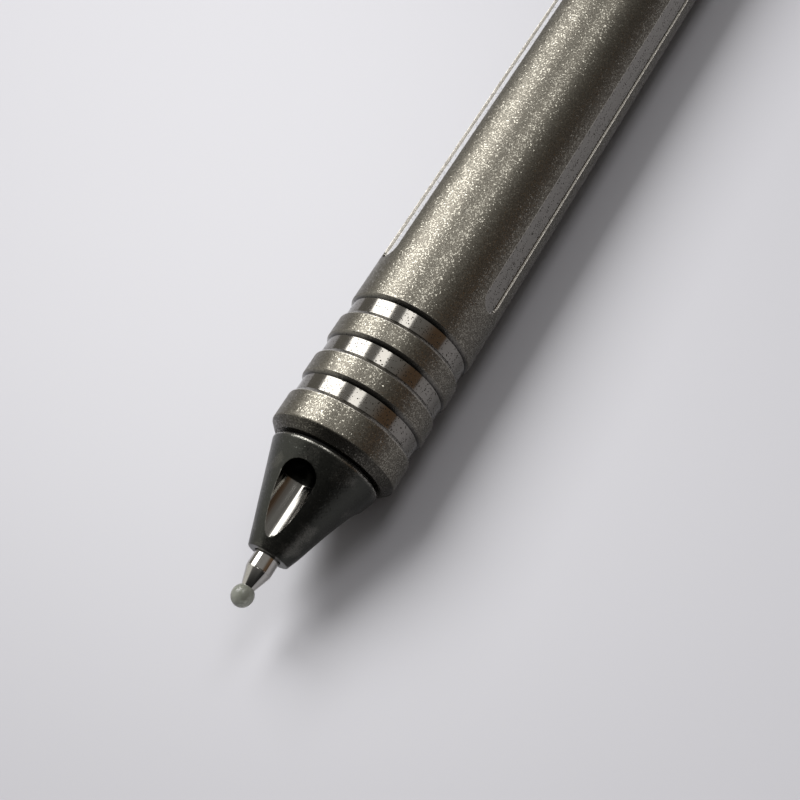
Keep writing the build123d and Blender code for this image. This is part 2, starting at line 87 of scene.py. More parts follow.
class Tree:
    """A short way to write a node tree."""

    def __init__(self, tree: NodeTree) -> None:
        """Wraps a node tree."""
        self.tree = tree

    def add(self, kind: str, inputs: dict[Any, Any] | None = None, **settings: Any) -> Node:
        """Adds a node, sets its properties, and sets or links its inputs.

        Args:
            kind: the node's type name.
            inputs: values or output sockets by input name or index.
            settings: the node's own properties.

        Returns:
            The new node.
        """
        node = self.tree.nodes.new(kind)
        for name, value in settings.items():
            setattr(node, name, value)
        for key, value in (inputs or {}).items():
            self.feed(node.inputs[key], value)
        return node

    def feed(self, socket: Socket, value: Any) -> None:
        """Links an output socket to an input, or sets the input's value.

        Args:
            socket: the input.
            value: an output socket or a plain value.
        """
        if isinstance(value, Socket):
            self.tree.links.new(value, socket)
        else:
            socket.default_value = value

    def math(self, operation: str, *values: Any, clamp: bool = False) -> Socket:
        """The result of a Math node, kept within 0 to 1 if it is clamped."""
        inputs = dict(enumerate(values))
        return self.add("ShaderNodeMath", inputs, operation=operation, use_clamp=clamp).outputs[0]

    def vector(self, operation: str, inputs: dict[int, Any]) -> Socket:
        """The result of a Vector Math node."""
        return self.add("ShaderNodeVectorMath", inputs, operation=operation).outputs[0]

    def span(self, value: Any, low: float, high: float, start: Any = 0.0, end: Any = 1.0) -> Socket:
        """Maps the range from low to high to the one from start to end, with a smooth step."""
        inputs = {"Value": value, "From Min": low, "From Max": high, "To Min": start, "To Max": end}
        return self.add("ShaderNodeMapRange", inputs, interpolation_type="SMOOTHSTEP").outputs["Result"]

    def blend(self, factor: Any, first: Any, second: Any) -> Socket:
        """Mixes two colours, where the factor is the share of the second."""
        return self.add("ShaderNodeMix", {0: factor, 6: first, 7: second}, data_type="RGBA").outputs[2]

    def blend_number(self, factor: Any, first: Any, second: Any) -> Socket:
        """Mixes two numbers, where the factor is the share of the second."""
        return self.add("ShaderNodeMix", {0: factor, 2: first, 3: second}).outputs[0]

    def blend_vector(self, factor: Any, first: Any, second: Any) -> Socket:
        """Mixes two vectors, where the factor is the share of the second."""
        return self.add("ShaderNodeMix", {0: factor, 4: first, 5: second}, data_type="VECTOR").outputs[1]

    def attribute(self, name: str) -> Socket:
        """A number that the piece's vertices carry."""
        return self.add("ShaderNodeAttribute", attribute_name=name).outputs["Fac"]

    def place(self) -> Socket:
        """The place on the piece in Object coordinates."""
        return self.add("ShaderNodeTexCoord").outputs["Object"]

    def smooth_normal(self) -> Socket:
        """The surface's own normal."""
        return self.add("ShaderNodeNewGeometry").outputs["Normal"]

    def effect(self, group: NodeTree, **values: float) -> Any:
        """Places a shared node group, and gives its outputs."""
        return self.add("ShaderNodeGroup", values, node_tree=group).outputs

    def noise(self, place: Any, scale: Any, detail: float, roughness: float = 0.5) -> Node:
        """Adds a Noise Texture node."""
        inputs = {"Vector": place, "Scale": scale, "Detail": detail, "Roughness": roughness}
        return self.add("ShaderNodeTexNoise", inputs)

    def shifted(self, start: Any, noise_colour: Any, amount: Any) -> Socket:
        """Moves a vector by a noise's colour, whose middle grey moves nothing."""
        centred = self.vector("SUBTRACT", {0: noise_colour, 1: (0.5, 0.5, 0.5)})
        return self.vector("ADD", {0: start, 1: self.vector("SCALE", {0: centred, 3: amount})})

    def tilted_normal(self, noise_colour: Any, amount: Any) -> Socket:
        """The surface's normal, tilted by a noise's colour."""
        return self.vector("NORMALIZE", {0: self.shifted(self.smooth_normal(), noise_colour, amount)})


class Group(Tree):
    """A node group in the making: its inputs are in given, and its outputs are in result."""

    kinds = {float: "NodeSocketFloat", int: "NodeSocketInt"}

    def __init__(
        self, name: str, inputs: dict[str, Any], outputs: dict[str, str], kind: str = "ShaderNodeTree"
    ) -> None:
        """Starts a group.

        Args:
            name: the group's name.
            inputs: each input's default number, or its socket type, by name.
            outputs: each output's socket type by name.
            kind: the type of the tree.
        """
        super().__init__(bpy.data.node_groups.new(name, kind))
        for label, value in inputs.items():
            bare = isinstance(value, str)
            socket_type = value if bare else self.kinds[type(value)]
            socket = self.tree.interface.new_socket(label, in_out="INPUT", socket_type=socket_type)
            if not bare:
                socket.default_value = value
        for label, socket_type in outputs.items():
            self.tree.interface.new_socket(label, in_out="OUTPUT", socket_type=socket_type)
        self.given = self.add("NodeGroupInput").outputs
        self.result = self.add("NodeGroupOutput").inputs

    def cells_per_metre(self) -> Socket:
        """The input Scale, which counts a pattern's cells per millimetre, per metre."""
        return self.math("MULTIPLY", self.given["Scale"], 1.0 / MM)

    def close(self, **values: Socket) -> NodeTree:
        """Feeds the group's outputs by name.

        Args:
            values: the output sockets that feed them.

        Returns:
            The finished group.
        """
        for label, value in values.items():
            self.feed(self.result[label], value)
        return self.tree

    def close_dressed(self, geometry: Socket) -> NodeTree:
        """Makes a geometry tree's copies real, gives them the input Finish, and ends the tree.

        Args:
            geometry: what the tree has made.

        Returns:
            The finished tree.
        """
        real = self.add("GeometryNodeRealizeInstances", {0: geometry}).outputs[0]
        inputs = {"Geometry": real, "Material": self.given["Finish"]}
        return self.close(Geometry=self.add("GeometryNodeSetMaterial", inputs).outputs[0])


def rgb(red: float, green: float, blue: float) -> tuple[float, float, float, float]:
    """An opaque colour from its three linear parts."""
    return (red, green, blue, 1.0)


class Effects:
    """The shader node groups that several finishes share, each built once."""

    def __init__(self) -> None:
        """Builds every group."""
        self.flecks = self.build_flecks()
        self.pits = self.build_pits()
        self.scuffs = self.build_scuffs()
        self.turning = self.build_turning()
        self.milling = self.build_milling()

    @staticmethod
    def build_flecks() -> NodeTree:
        """Tumbled flecks: small crooked facets, each tilted its own way, so that some sparkle.

        Returns:
            The group.
        """
        bend_scale, bend_cells, rim, soft = 0.7, 2.4, (0.42, 0.56), 0.04
        outputs = {"Normal": "NodeSocketVector", "Mask": "NodeSocketFloat", "Tone": "NodeSocketFloat"}
        tree = Group("tumbled_flecks", {"Scale": 5.0, "Tilt": 0.3, "Cover": 0.4}, outputs)
        place, scale = tree.place(), tree.cells_per_metre()
        bend = tree.noise(place, tree.math("MULTIPLY", scale, bend_scale), detail=1.0).outputs["Color"]
        bent = tree.shifted(place, bend, tree.math("DIVIDE", bend_cells, scale))
        cells = tree.add("ShaderNodeTexVoronoi", {"Vector": bent, "Scale": scale}).outputs
        chance = tree.add("ShaderNodeSeparateColor", {0: cells["Color"]}).outputs[0]
        kept = tree.span(tree.math("SUBTRACT", tree.given["Cover"], chance), -soft, soft)
        mask = tree.math("MULTIPLY", kept, tree.span(cells["Distance"], *rim, 1.0, 0.0))
        own = tree.add("ShaderNodeTexWhiteNoise", {"Vector": cells["Color"]}).outputs["Color"]
        normal = tree.tilted_normal(own, tree.math("MULTIPLY", tree.given["Tilt"], mask))
        return tree.close(Normal=normal, Mask=mask, Tone=tree.noise(place, scale, detail=3.0).outputs[0])

    @staticmethod
    def build_pits() -> NodeTree:
        """Small dark pits, scattered and uneven.

        Returns:
            The group.
        """
        largest, soft = 1.1, 0.05
        tree = Group("scattered_pits", {"Scale": 4.0, "Amount": 0.4}, {"Mask": "NodeSocketFloat"})
        inputs = {"Vector": tree.place(), "Scale": tree.cells_per_metre()}
        cells = tree.add("ShaderNodeTexVoronoi", inputs).outputs
        chance = tree.add("ShaderNodeSeparateColor", {0: cells["Color"]}).outputs[1]
        size = tree.math("MULTIPLY", tree.math("SUBTRACT", tree.given["Amount"], chance, clamp=True), largest)
        return tree.close(Mask=tree.span(tree.math("SUBTRACT", size, cells["Distance"]), -soft, soft))

    @staticmethod
    def build_scuffs() -> NodeTree:
        """Light worn places and hair scratches, in patches.

        Returns:
            The group.
        """
        patch_scale, patches, patch_strength, worn = 0.04, (0.35, 0.7), (0.5, 1.15), (0.42, 0.66)
        tree = Group("light_scuffs", {"Scale": 3.0, "Amount": 0.5}, {"Mask": "NodeSocketFloat"})
        place, scale = tree.place(), tree.cells_per_metre()
        fine = tree.noise(place, scale, detail=8.0, roughness=0.75).outputs[0]
        broad = tree.noise(place, tree.math("MULTIPLY", scale, patch_scale), detail=3.0).outputs[0]
        mixed = tree.span(tree.math("MULTIPLY", fine, tree.span(broad, *patches, *patch_strength)), *worn)
        return tree.close(Mask=tree.math("MULTIPLY", mixed, tree.given["Amount"], clamp=True))

    @staticmethod
    def build_turning() -> NodeTree:
        """Fine rings left by a lathe round the X axis.

        Returns:
            The group.
        """
        tree = Group("turning_rings", {"Scale": 12.0}, {"Height": "NodeSocketFloat"})
        along = tree.add("ShaderNodeSeparateXYZ", {0: tree.place()}).outputs[0]
        rings = tree.math("MULTIPLY", tree.math("MULTIPLY", along, tree.given["Scale"]), 1.0 / MM)
        flat = tree.add("ShaderNodeCombineXYZ", {0: rings}).outputs[0]
        return tree.close(Height=tree.noise(flat, 1.0, detail=3.0).outputs[0])

    @staticmethod
    def build_milling() -> NodeTree:
        """Marks that a cutter leaves along the pen.

        Returns:
            The group.
        """
        stretch = (0.012, 1.0, 1.0)
        tree = Group("milling_marks", {"Scale": 5.0, "Tilt": 0.3}, {"Normal": "NodeSocketVector"})
        long = tree.vector("MULTIPLY", {0: tree.place(), 1: stretch})
        marks = tree.noise(long, tree.cells_per_metre(), detail=2.0).outputs["Color"]
        return tree.close(Normal=tree.tilted_normal(marks, tree.given["Tilt"]))


EFFECTS = Effects()


@dataclass(frozen=True)
class Finish:
    """What every finish has: a name and a way to make its material once."""

    name: str

    def material(self) -> bpy.types.Material:
        """The finish's material, made at the first call.

        Returns:
            The material.
        """
        found = bpy.data.materials.get(self.name)
        if found is not None:
            return found
        material = bpy.data.materials.new(self.name)
        material.use_nodes = True
        material.node_tree.nodes.clear()
        tree = Tree(material.node_tree)
        shader = tree.add("ShaderNodeBsdfPrincipled")
        tree.add("ShaderNodeOutputMaterial", {0: shader.outputs[0]})
        for label, value in self.paint(tree).items():
            tree.feed(shader.inputs[label], value)
        return material

    def paint(self, tree: Tree) -> dict[str, Any]:
        """What the Principled shader's inputs are set to or fed by, by their names."""
        raise NotImplementedError


@dataclass(frozen=True)
class TumbledTitanium(Finish):
    """Stonewashed titanium whose milled floors are polished and whose edges are worn bright."""

    ground: tuple = rgb(0.096, 0.088, 0.073)
    ground_light: tuple = rgb(0.168, 0.155, 0.128)
    fleck: tuple = rgb(0.29, 0.274, 0.232)
    edge: tuple = rgb(0.56, 0.53, 0.48)
    bright: tuple = rgb(0.235, 0.223, 0.202)
    grazed: tuple = rgb(1.0, 1.0, 0.99)
    pit: tuple = rgb(0.050, 0.044, 0.036)
    # painted shade: near-black colour for the groove walls and the front chamfer
    dirt: tuple = rgb(0.022, 0.021, 0.020)
    tilt: float = 0.28
    fleck_scale: float = 9.0
    fleck_cover: float = 0.48
    pit_scale: float = 7.0
    pit_amount: float = 0.5
    ground_rough: float = 0.42
    fleck_rough: float = 0.2
    bright_rough: float = 0.13
    grazed_rough: float = 0.05
    pit_rough: float = 0.4
    edge_rough: float = 0.2
    grazing: tuple = (0.55, 0.62)
    broken_tone: tuple = (0.35, 0.55)
    ground_tone: tuple = (0.35, 0.65)
    least_edge: float = 0.3

    def paint(self, tree: Tree) -> dict[str, Any]:
        """Mixes tumbled, polished and worn metal, and painted shade, by the piece's own attributes.

        Args:
            tree: the material's tree.

        Returns:
            The values and output sockets for the shader, by the input's name.
        """
        flecks = tree.effect(EFFECTS.flecks, Scale=self.fleck_scale, Tilt=self.tilt, Cover=self.fleck_cover)
        pits = tree.effect(EFFECTS.pits, Scale=self.pit_scale, Amount=self.pit_amount)["Mask"]
        polish, edge, flat, dirt = (tree.attribute(name) for name in ("polish", "edge", "flat", "dirt"))
        facing = tree.add("ShaderNodeLayerWeight", {"Blend": 0.5}).outputs["Facing"]
        graze = tree.math("MULTIPLY", flat, tree.span(facing, *self.grazing))
        broken = tree.math("MULTIPLY", edge, tree.span(flecks["Tone"], *self.broken_tone, self.least_edge))
        ground = tree.blend(tree.span(flecks["Tone"], *self.ground_tone), self.ground, self.ground_light)
        washed = tree.blend(flecks["Mask"], ground, self.fleck)
        polished = tree.blend(pits, tree.blend(graze, self.bright, self.grazed), self.pit)
        # painted shade: this blend darkens the colour to near black on the groove walls and the front chamfer
        base = tree.blend(dirt, tree.blend(polish, washed, polished), self.dirt)
        rough = tree.span(flecks["Mask"], 0.0, 1.0, self.ground_rough, self.fleck_rough)
        shine = tree.span(graze, 0.0, 1.0, self.bright_rough, self.grazed_rough)
        shine = tree.math("ADD", shine, tree.math("MULTIPLY", pits, self.pit_rough))
        rough = tree.blend_number(broken, tree.blend_number(polish, rough, shine), self.edge_rough)
        calm = tree.math("MAXIMUM", polish, broken)
        return {
            "Metallic": 1.0,
            "Base Color": tree.blend(broken, base, self.edge),
            "Roughness": rough,
            "Normal": tree.blend_vector(calm, flecks["Normal"], tree.smooth_normal()),
        }


@dataclass(frozen=True)
class ScuffedBlack(Finish):
    """A dark matte coating, scuffed light in patches, and polished through in the milled pockets."""

    coat: tuple = rgb(0.052, 0.053, 0.047)
    worn: tuple = rgb(0.20, 0.192, 0.17)
    rubbed: tuple = rgb(0.42, 0.405, 0.365)
    metal: tuple = rgb(0.225, 0.217, 0.20)
    # painted shade: near-black colour for the pockets' ball ends
    dirt: tuple = rgb(0.006, 0.006, 0.005)
    scuff_scale: float = 11.0
    scuff_amount: float = 0.46
    fleck_scale: float = 9.0
    fleck_tilt: float = 0.36
    fleck_cover: float = 0.5
    mark_scale: float = 5.0
    mark_tilt: float = 0.4
    coat_metallic: float = 0.95
    coat_rough: float = 0.3
    metal_rough: float = 0.16
    rubbed_shine: float = 0.16
    rubbed_tone: tuple = (0.35, 0.6)

    def paint(self, tree: Tree) -> dict[str, Any]:
        """Mixes coating, scuffs, bare polished metal and painted shade.

        Args:
            tree: the material's tree.

        Returns:
            The values and output sockets for the shader, by the input's name.
        """
        scuffs = tree.effect(EFFECTS.scuffs, Scale=self.scuff_scale, Amount=self.scuff_amount)
        scale, tilt, cover = self.fleck_scale, self.fleck_tilt, self.fleck_cover
        flecks = tree.effect(EFFECTS.flecks, Scale=scale, Tilt=tilt, Cover=cover)
        milled = tree.effect(EFFECTS.milling, Scale=self.mark_scale, Tilt=self.mark_tilt)
        polish, edge, dirt = (tree.attribute(name) for name in ("polish", "edge", "dirt"))
        rubbed = tree.math("MULTIPLY", edge, tree.span(flecks["Tone"], *self.rubbed_tone))
        coat = tree.blend(rubbed, tree.blend(scuffs["Mask"], self.coat, self.worn), self.rubbed)
        # painted shade: this blend darkens the pockets' ball ends to near black
        coat = tree.blend(dirt, coat, self.dirt)
        rough = tree.span(polish, 0.0, 1.0, self.coat_rough, self.metal_rough)
        return {
            "Base Color": tree.blend(polish, coat, self.metal),
            "Metallic": tree.span(polish, 0.0, 1.0, self.coat_metallic, 1.0),
            "Roughness": tree.math("SUBTRACT", rough, tree.math("MULTIPLY", rubbed, self.rubbed_shine)),
            "Normal": tree.blend_vector(polish, flecks["Normal"], milled["Normal"]),
        }


@dataclass(frozen=True)
class TurnedMetal(Finish):
    """Metal with fine lathe rings round the pen's axis."""

    colour: tuple = rgb(0.6, 0.58, 0.55)
    roughness: float = 0.25
    ring_scale: float = 12.0
    ring_depth: float = 0.002
    ring_strength: float = 0.6
    scuff_scale: float = 5.0
    scuff_amount: float = 0.35
    scuff_shade: float = 0.75
    rough_range: tuple = (0.85, 1.3)

    def paint(self, tree: Tree) -> dict[str, Any]:
        """Sets metal with a fine ring bump.

        Args:
            tree: the material's tree.

        Returns:
            The values and output sockets for the shader, by the input's name.
        """
        rings = tree.effect(EFFECTS.turning, Scale=self.ring_scale)["Height"]
        scuffs = tree.effect(EFFECTS.scuffs, Scale=self.scuff_scale, Amount=self.scuff_amount)["Mask"]
        shade = rgb(*(part * self.scuff_shade for part in self.colour[:3]))
        low, high = (self.roughness * share for share in self.rough_range)
        inputs = {"Height": rings, "Distance": self.ring_depth * MM, "Strength": self.ring_strength}
        return {
            "Metallic": 1.0,
            "Base Color": tree.blend(scuffs, self.colour, shade),
            "Roughness": tree.span(rings, 0.3, 0.7, low, high),
            "Normal": tree.add("ShaderNodeBump", inputs).outputs[0],
        }


@dataclass(frozen=True)
class Plastic(Finish):
    """A moulded or extruded plastic, ink or grease, with faint cloudiness."""

    colour: tuple = rgb(0.8, 0.8, 0.78)
    second: tuple = rgb(0.72, 0.72, 0.70)
    roughness: float = 0.35
    transmission: float = 0.0
    cloud_scale: float = 1.2
    cloud_amount: float = 0.9
    cloud_rough: float = 1.4
    index: float = 1.45

    def paint(self, tree: Tree) -> dict[str, Any]:
        """Sets a soft two-tone plastic.

        Args:
            tree: the material's tree.

        Returns:
            The values and output sockets for the shader, by the input's name.
        """
        clouds = tree.effect(EFFECTS.scuffs, Scale=self.cloud_scale, Amount=self.cloud_amount)["Mask"]
        return {
            "Transmission Weight": self.transmission,
            "IOR": self.index,
            "Base Color": tree.blend(clouds, self.colour, self.second),
            "Roughness": tree.span(clouds, 0.0, 1.0, self.roughness, self.roughness * self.cloud_rough),
        }


TITANIUM = TumbledTitanium("tumbled_titanium")
DARK = ScuffedBlack("scuffed_dark_titanium")
NICKEL = TurnedMetal("bright_nickel", rgb(0.50, 0.485, 0.455), 0.06, 16.0, 0.0004)
TURNED = TurnedMetal("satin_titanium", rgb(0.52, 0.49, 0.45), 0.3)
CARBIDE = TurnedMetal("ground_carbide", rgb(0.30, 0.30, 0.32), 0.18)
BRASS = TurnedMetal("turned_brass", rgb(0.72, 0.52, 0.25), 0.28)
SPRING = TurnedMetal("drawn_spring_wire", rgb(0.55, 0.55, 0.56), 0.25)
BLACK_STEEL = TurnedMetal("black_oxide_steel", rgb(0.03, 0.03, 0.032), 0.38)
RUBBER = Plastic("black_ring_rubber", rgb(0.008, 0.008, 0.008), rgb(0.02, 0.02, 0.02), 0.6)
WAX = Plastic("wax_drop", rgb(0.40, 0.41, 0.35), rgb(0.31, 0.32, 0.26), 0.16, 0.5)
WHITE = Plastic("moulded_white")
CLEAR = Plastic("clear_tube", rgb(0.9, 0.92, 0.92), rgb(0.85, 0.87, 0.87), 0.12, 0.95)
INK = Plastic("black_gel_ink", rgb(0.01, 0.01, 0.012), rgb(0.015, 0.015, 0.018), 0.2)
GREASE = Plastic("follower_grease", rgb(0.8, 0.78, 0.62), rgb(0.74, 0.72, 0.56), 0.2, 0.6)
PAD = Plastic("soft_pad", rgb(0.05, 0.05, 0.05), rgb(0.07, 0.07, 0.07), 0.6)


# Meshes


def soften(corners: Sequence[Corner], steps: int = 6) -> list[Point]:
    """Rounds the corners of a closed outline.

    Args:
        corners: x, radius from the axis, and rounding radius of each corner.
        steps: the runs in each rounded corner.

    Returns:
        The outline's points.
    """
    points: list[Point] = []
    count = len(corners)
    for i, (x, y, rounding) in enumerate(corners):
        here = np.array([x, y])
        if rounding <= 0:
            points.append((x, y))
            continue
        back = np.array(corners[i - 1][:2]) - here
        ahead = np.array(corners[(i + 1) % count][:2]) - here
        back_length, ahead_length = np.linalg.norm(back), np.linalg.norm(ahead)
        back, ahead = back / back_length, ahead / ahead_length
        half = acos(float(np.clip(back @ ahead, -1, 1))) / 2
        reach = min(rounding / tan(half), 0.45 * back_length, 0.45 * ahead_length)
        middle = here + (back + ahead) / np.linalg.norm(back + ahead) * reach / cos(half)
        first, last = here + back * reach - middle, here + ahead * reach - middle
        turn = pi - 2 * half
        for k in range(steps + 1):
            share = k / steps
            spoke = (sin((1 - share) * turn) * first + sin(share * turn) * last) / sin(turn)
            points.append((float(middle[0] + spoke[0]), float(middle[1] + spoke[1])))
    return points


def add_object(name: str, data: bpy.types.ID) -> Item:
    """Makes an object and puts it in the scene.

    Args:
        name: the object's name.
        data: its mesh, light or camera.

    Returns:
        The object.
    """
    item = bpy.data.objects.new(name, data)
    bpy.context.scene.collection.objects.link(item)
    return item


def make_piece(name: str, vertices: Any, faces: Any, finish: Finish) -> Item:
    """Makes an object from vertices in millimetres, with smooth faces and sharp creases.

    Args:
        name: the piece's name.
        vertices: points in millimetres.
        faces: tuples of vertex numbers.
        finish: the piece's finish.

    Returns:
        The object.
    """
    mesh = bpy.data.meshes.new(name)
    mesh.from_pydata((np.asarray(vertices, float) * MM).tolist(), [], [tuple(f) for f in faces])
    mesh.validate()
    mesh.materials.append(finish.material())
    piece = add_object(name, mesh)
    tidy_mesh(piece)
    return piece


def tidy_mesh(piece: Item, sharp: float = 35.0) -> None:
    """Merges doubles, turns faces outwards, smooths them and marks sharp creases.

    Args:
        piece: the object.
        sharp: the angle in degrees above which an edge stays sharp.
    """
    work = bmesh.new()
    work.from_mesh(piece.data)
    bmesh.ops.remove_doubles(work, verts=work.verts, dist=DOUBLES_APART * MM)
    bmesh.ops.recalc_face_normals(work, faces=work.faces)
    for face in work.faces:
        face.smooth = True
    for edge in work.edges:
        edge.smooth = not (len(edge.link_faces) == 2 and edge.calc_face_angle(0.0) > radians(sharp))
    work.to_mesh(piece.data)
    work.free()
    piece.data.update()


def spin(outline: Array, angles: Array) -> Array:
    """Turns an outline's points round the X axis.

    Args:
        outline: x and radius of each point.
        angles: the clock angles of its copies in radians.

    Returns:
        The points of one copy after the other.
    """
    x = np.repeat(outline[:, 0][None], len(angles), 0)
    y = -outline[:, 1][None] * np.sin(angles)[:, None]
    z = outline[:, 1][None] * np.cos(angles)[:, None]
    return np.stack([x, y, z], -1).reshape(-1, 3)


def turned(name: str, outline: Sequence[Point], finish: Finish, segments: int = 96) -> Item:
    """Turns a closed half outline round the X axis.

    Args:
        name: the piece's name.
        outline: x and radius of each point, in order round the half section.
        finish: the piece's finish.
        segments: the number of steps round the axis.

    Returns:
        The turned piece.
    """
    points = np.array(outline, float)
    vertices = spin(points, np.arange(segments) * 2 * pi / segments)
    on_axis = points[:, 1] < 1e-9
    count = len(points)
    faces = []
    for i in range(segments):
        here, there = i * count, ((i + 1) % segments) * count
        for j in range(count):
            k = (j + 1) % count
            if on_axis[j] and on_axis[k]:
                continue
            ring = [here + j, here + k, there + k, there + j]
            if on_axis[j]:
                ring.pop(3)
            elif on_axis[k]:
                ring.pop(2)
            faces.append(ring)
    return make_piece(name, vertices, faces, finish)


def paint(piece: Item, **rules: Callable[[Array], Array]) -> None:
    """Writes numbers on every vertex, for the finish to read.

    Args:
        piece: the object.
        rules: by the attribute's name, what gives the numbers from the vertices in millimetres.
    """
    flat = np.zeros(len(piece.data.vertices) * 3)
    piece.data.vertices.foreach_get("co", flat)
    for name, rule in rules.items():
        attribute = piece.data.attributes.new(name, "FLOAT", "POINT")
        attribute.data.foreach_set("value", np.asarray(rule(flat.reshape(-1, 3) / MM), np.float32))


def settle(piece: Item, sharp: float = 35.0) -> Item:
    """Applies every modifier of a piece to its mesh.

    Args:
        piece: the object.
        sharp: the angle in degrees above which an edge stays sharp.

    Returns:
        The same object, with a plain mesh.
    """
    evaluated = piece.evaluated_get(bpy.context.evaluated_depsgraph_get())
    mesh = bpy.data.meshes.new_from_object(evaluated)
    piece.modifiers.clear()
    piece.data = mesh
    tidy_mesh(piece, sharp)
    return piece


def cut(piece: Item, cutter: Item) -> None:
    """Cuts one solid out of another and removes the cutter.

    Args:
        piece: the piece that is cut.
        cutter: the solid that is taken away.
    """
    modifier = piece.modifiers.new("cut", "BOOLEAN")
    modifier.operation, modifier.solver, modifier.object = "DIFFERENCE", "EXACT", cutter
    modifier.material_mode = "INDEX"
    settle(piece)
    bpy.data.objects.remove(cutter)


def clock_frame(clock: float) -> tuple[Array, Array]:
    """The unit vectors at a clock angle in degrees: away from the axis, and towards greater angles."""
    turn = radians(clock)
    return np.array([0.0, -sin(turn), cos(turn)]), np.array([0.0, -cos(turn), -sin(turn)])


def loft(name: str, rings: Sequence[Array], finish: Finish) -> Item:
    """Joins rings of points into a closed solid with flat ends.

    Args:
        name: the piece's name.
        rings: arrays of points in millimetres, all of one length.
        finish: the piece's finish.

    Returns:
        The solid.
    """
    count = len(rings[0])
    faces: list[Sequence[int]] = [list(range(count))[::-1]]
    for level in range(len(rings) - 1):
        low, high = level * count, (level + 1) * count
        faces += [(low + i, low + (i + 1) % count, high + (i + 1) % count, high + i) for i in range(count)]
    last = (len(rings) - 1) * count
    faces.append(list(range(last, last + count)))
    return make_piece(name, np.concatenate(rings), faces, finish)


def seal(name: str, front: float, rear: float, inner: float, outer: float, rounding: float) -> Item:
    """A rubber ring between two places and two radii, with round outer edges."""
    corners = [(front, inner, 0.0), (front, outer, rounding), (rear, outer, rounding), (rear, inner, 0.0)]
    return turned(name, soften(corners), RUBBER, segments=160)


def rod(name: str, centre: Array, direction: Array, radius: float, length: float) -> Item:
    """A round cutter that starts at a point.

    Args:
        name: the cutter's name.
        centre: the middle of its first end, in millimetres.
        direction: its unit direction.
        radius: its radius.
        length: its length.

    Returns:
        The cutter.
    """
    first = np.cross(direction, [1.0, 0.0, 0.0])
    first /= np.linalg.norm(first)
    second = np.cross(direction, first)
    turns = np.arange(ROD_SIDES) * 2 * pi / ROD_SIDES
    circle = radius * (np.cos(turns)[:, None] * first + np.sin(turns)[:, None] * second)
    return loft(name, [centre + circle, centre + circle + direction * length], TITANIUM)


def grow(piece: Item, group: NodeTree, **values: Any) -> Item:
    """Runs a geometry node tree on a piece and keeps the result as its mesh.

    Args:
        piece: the piece that carries the modifier.
        group: the geometry node group.
        values: the tree's inputs by name.

    Returns:
        The piece.
    """
    modifier = piece.modifiers.new("grow", "NODES")
    modifier.node_group = group
    for item in group.interface.items_tree:
        key = item.name.replace(" ", "_").lower()
        if item.item_type == "SOCKET" and item.in_out == "INPUT" and key in values:
            modifier[item.identifier] = values[key]
    piece.update_tag()
    bpy.context.view_layer.update()
    return settle(piece)


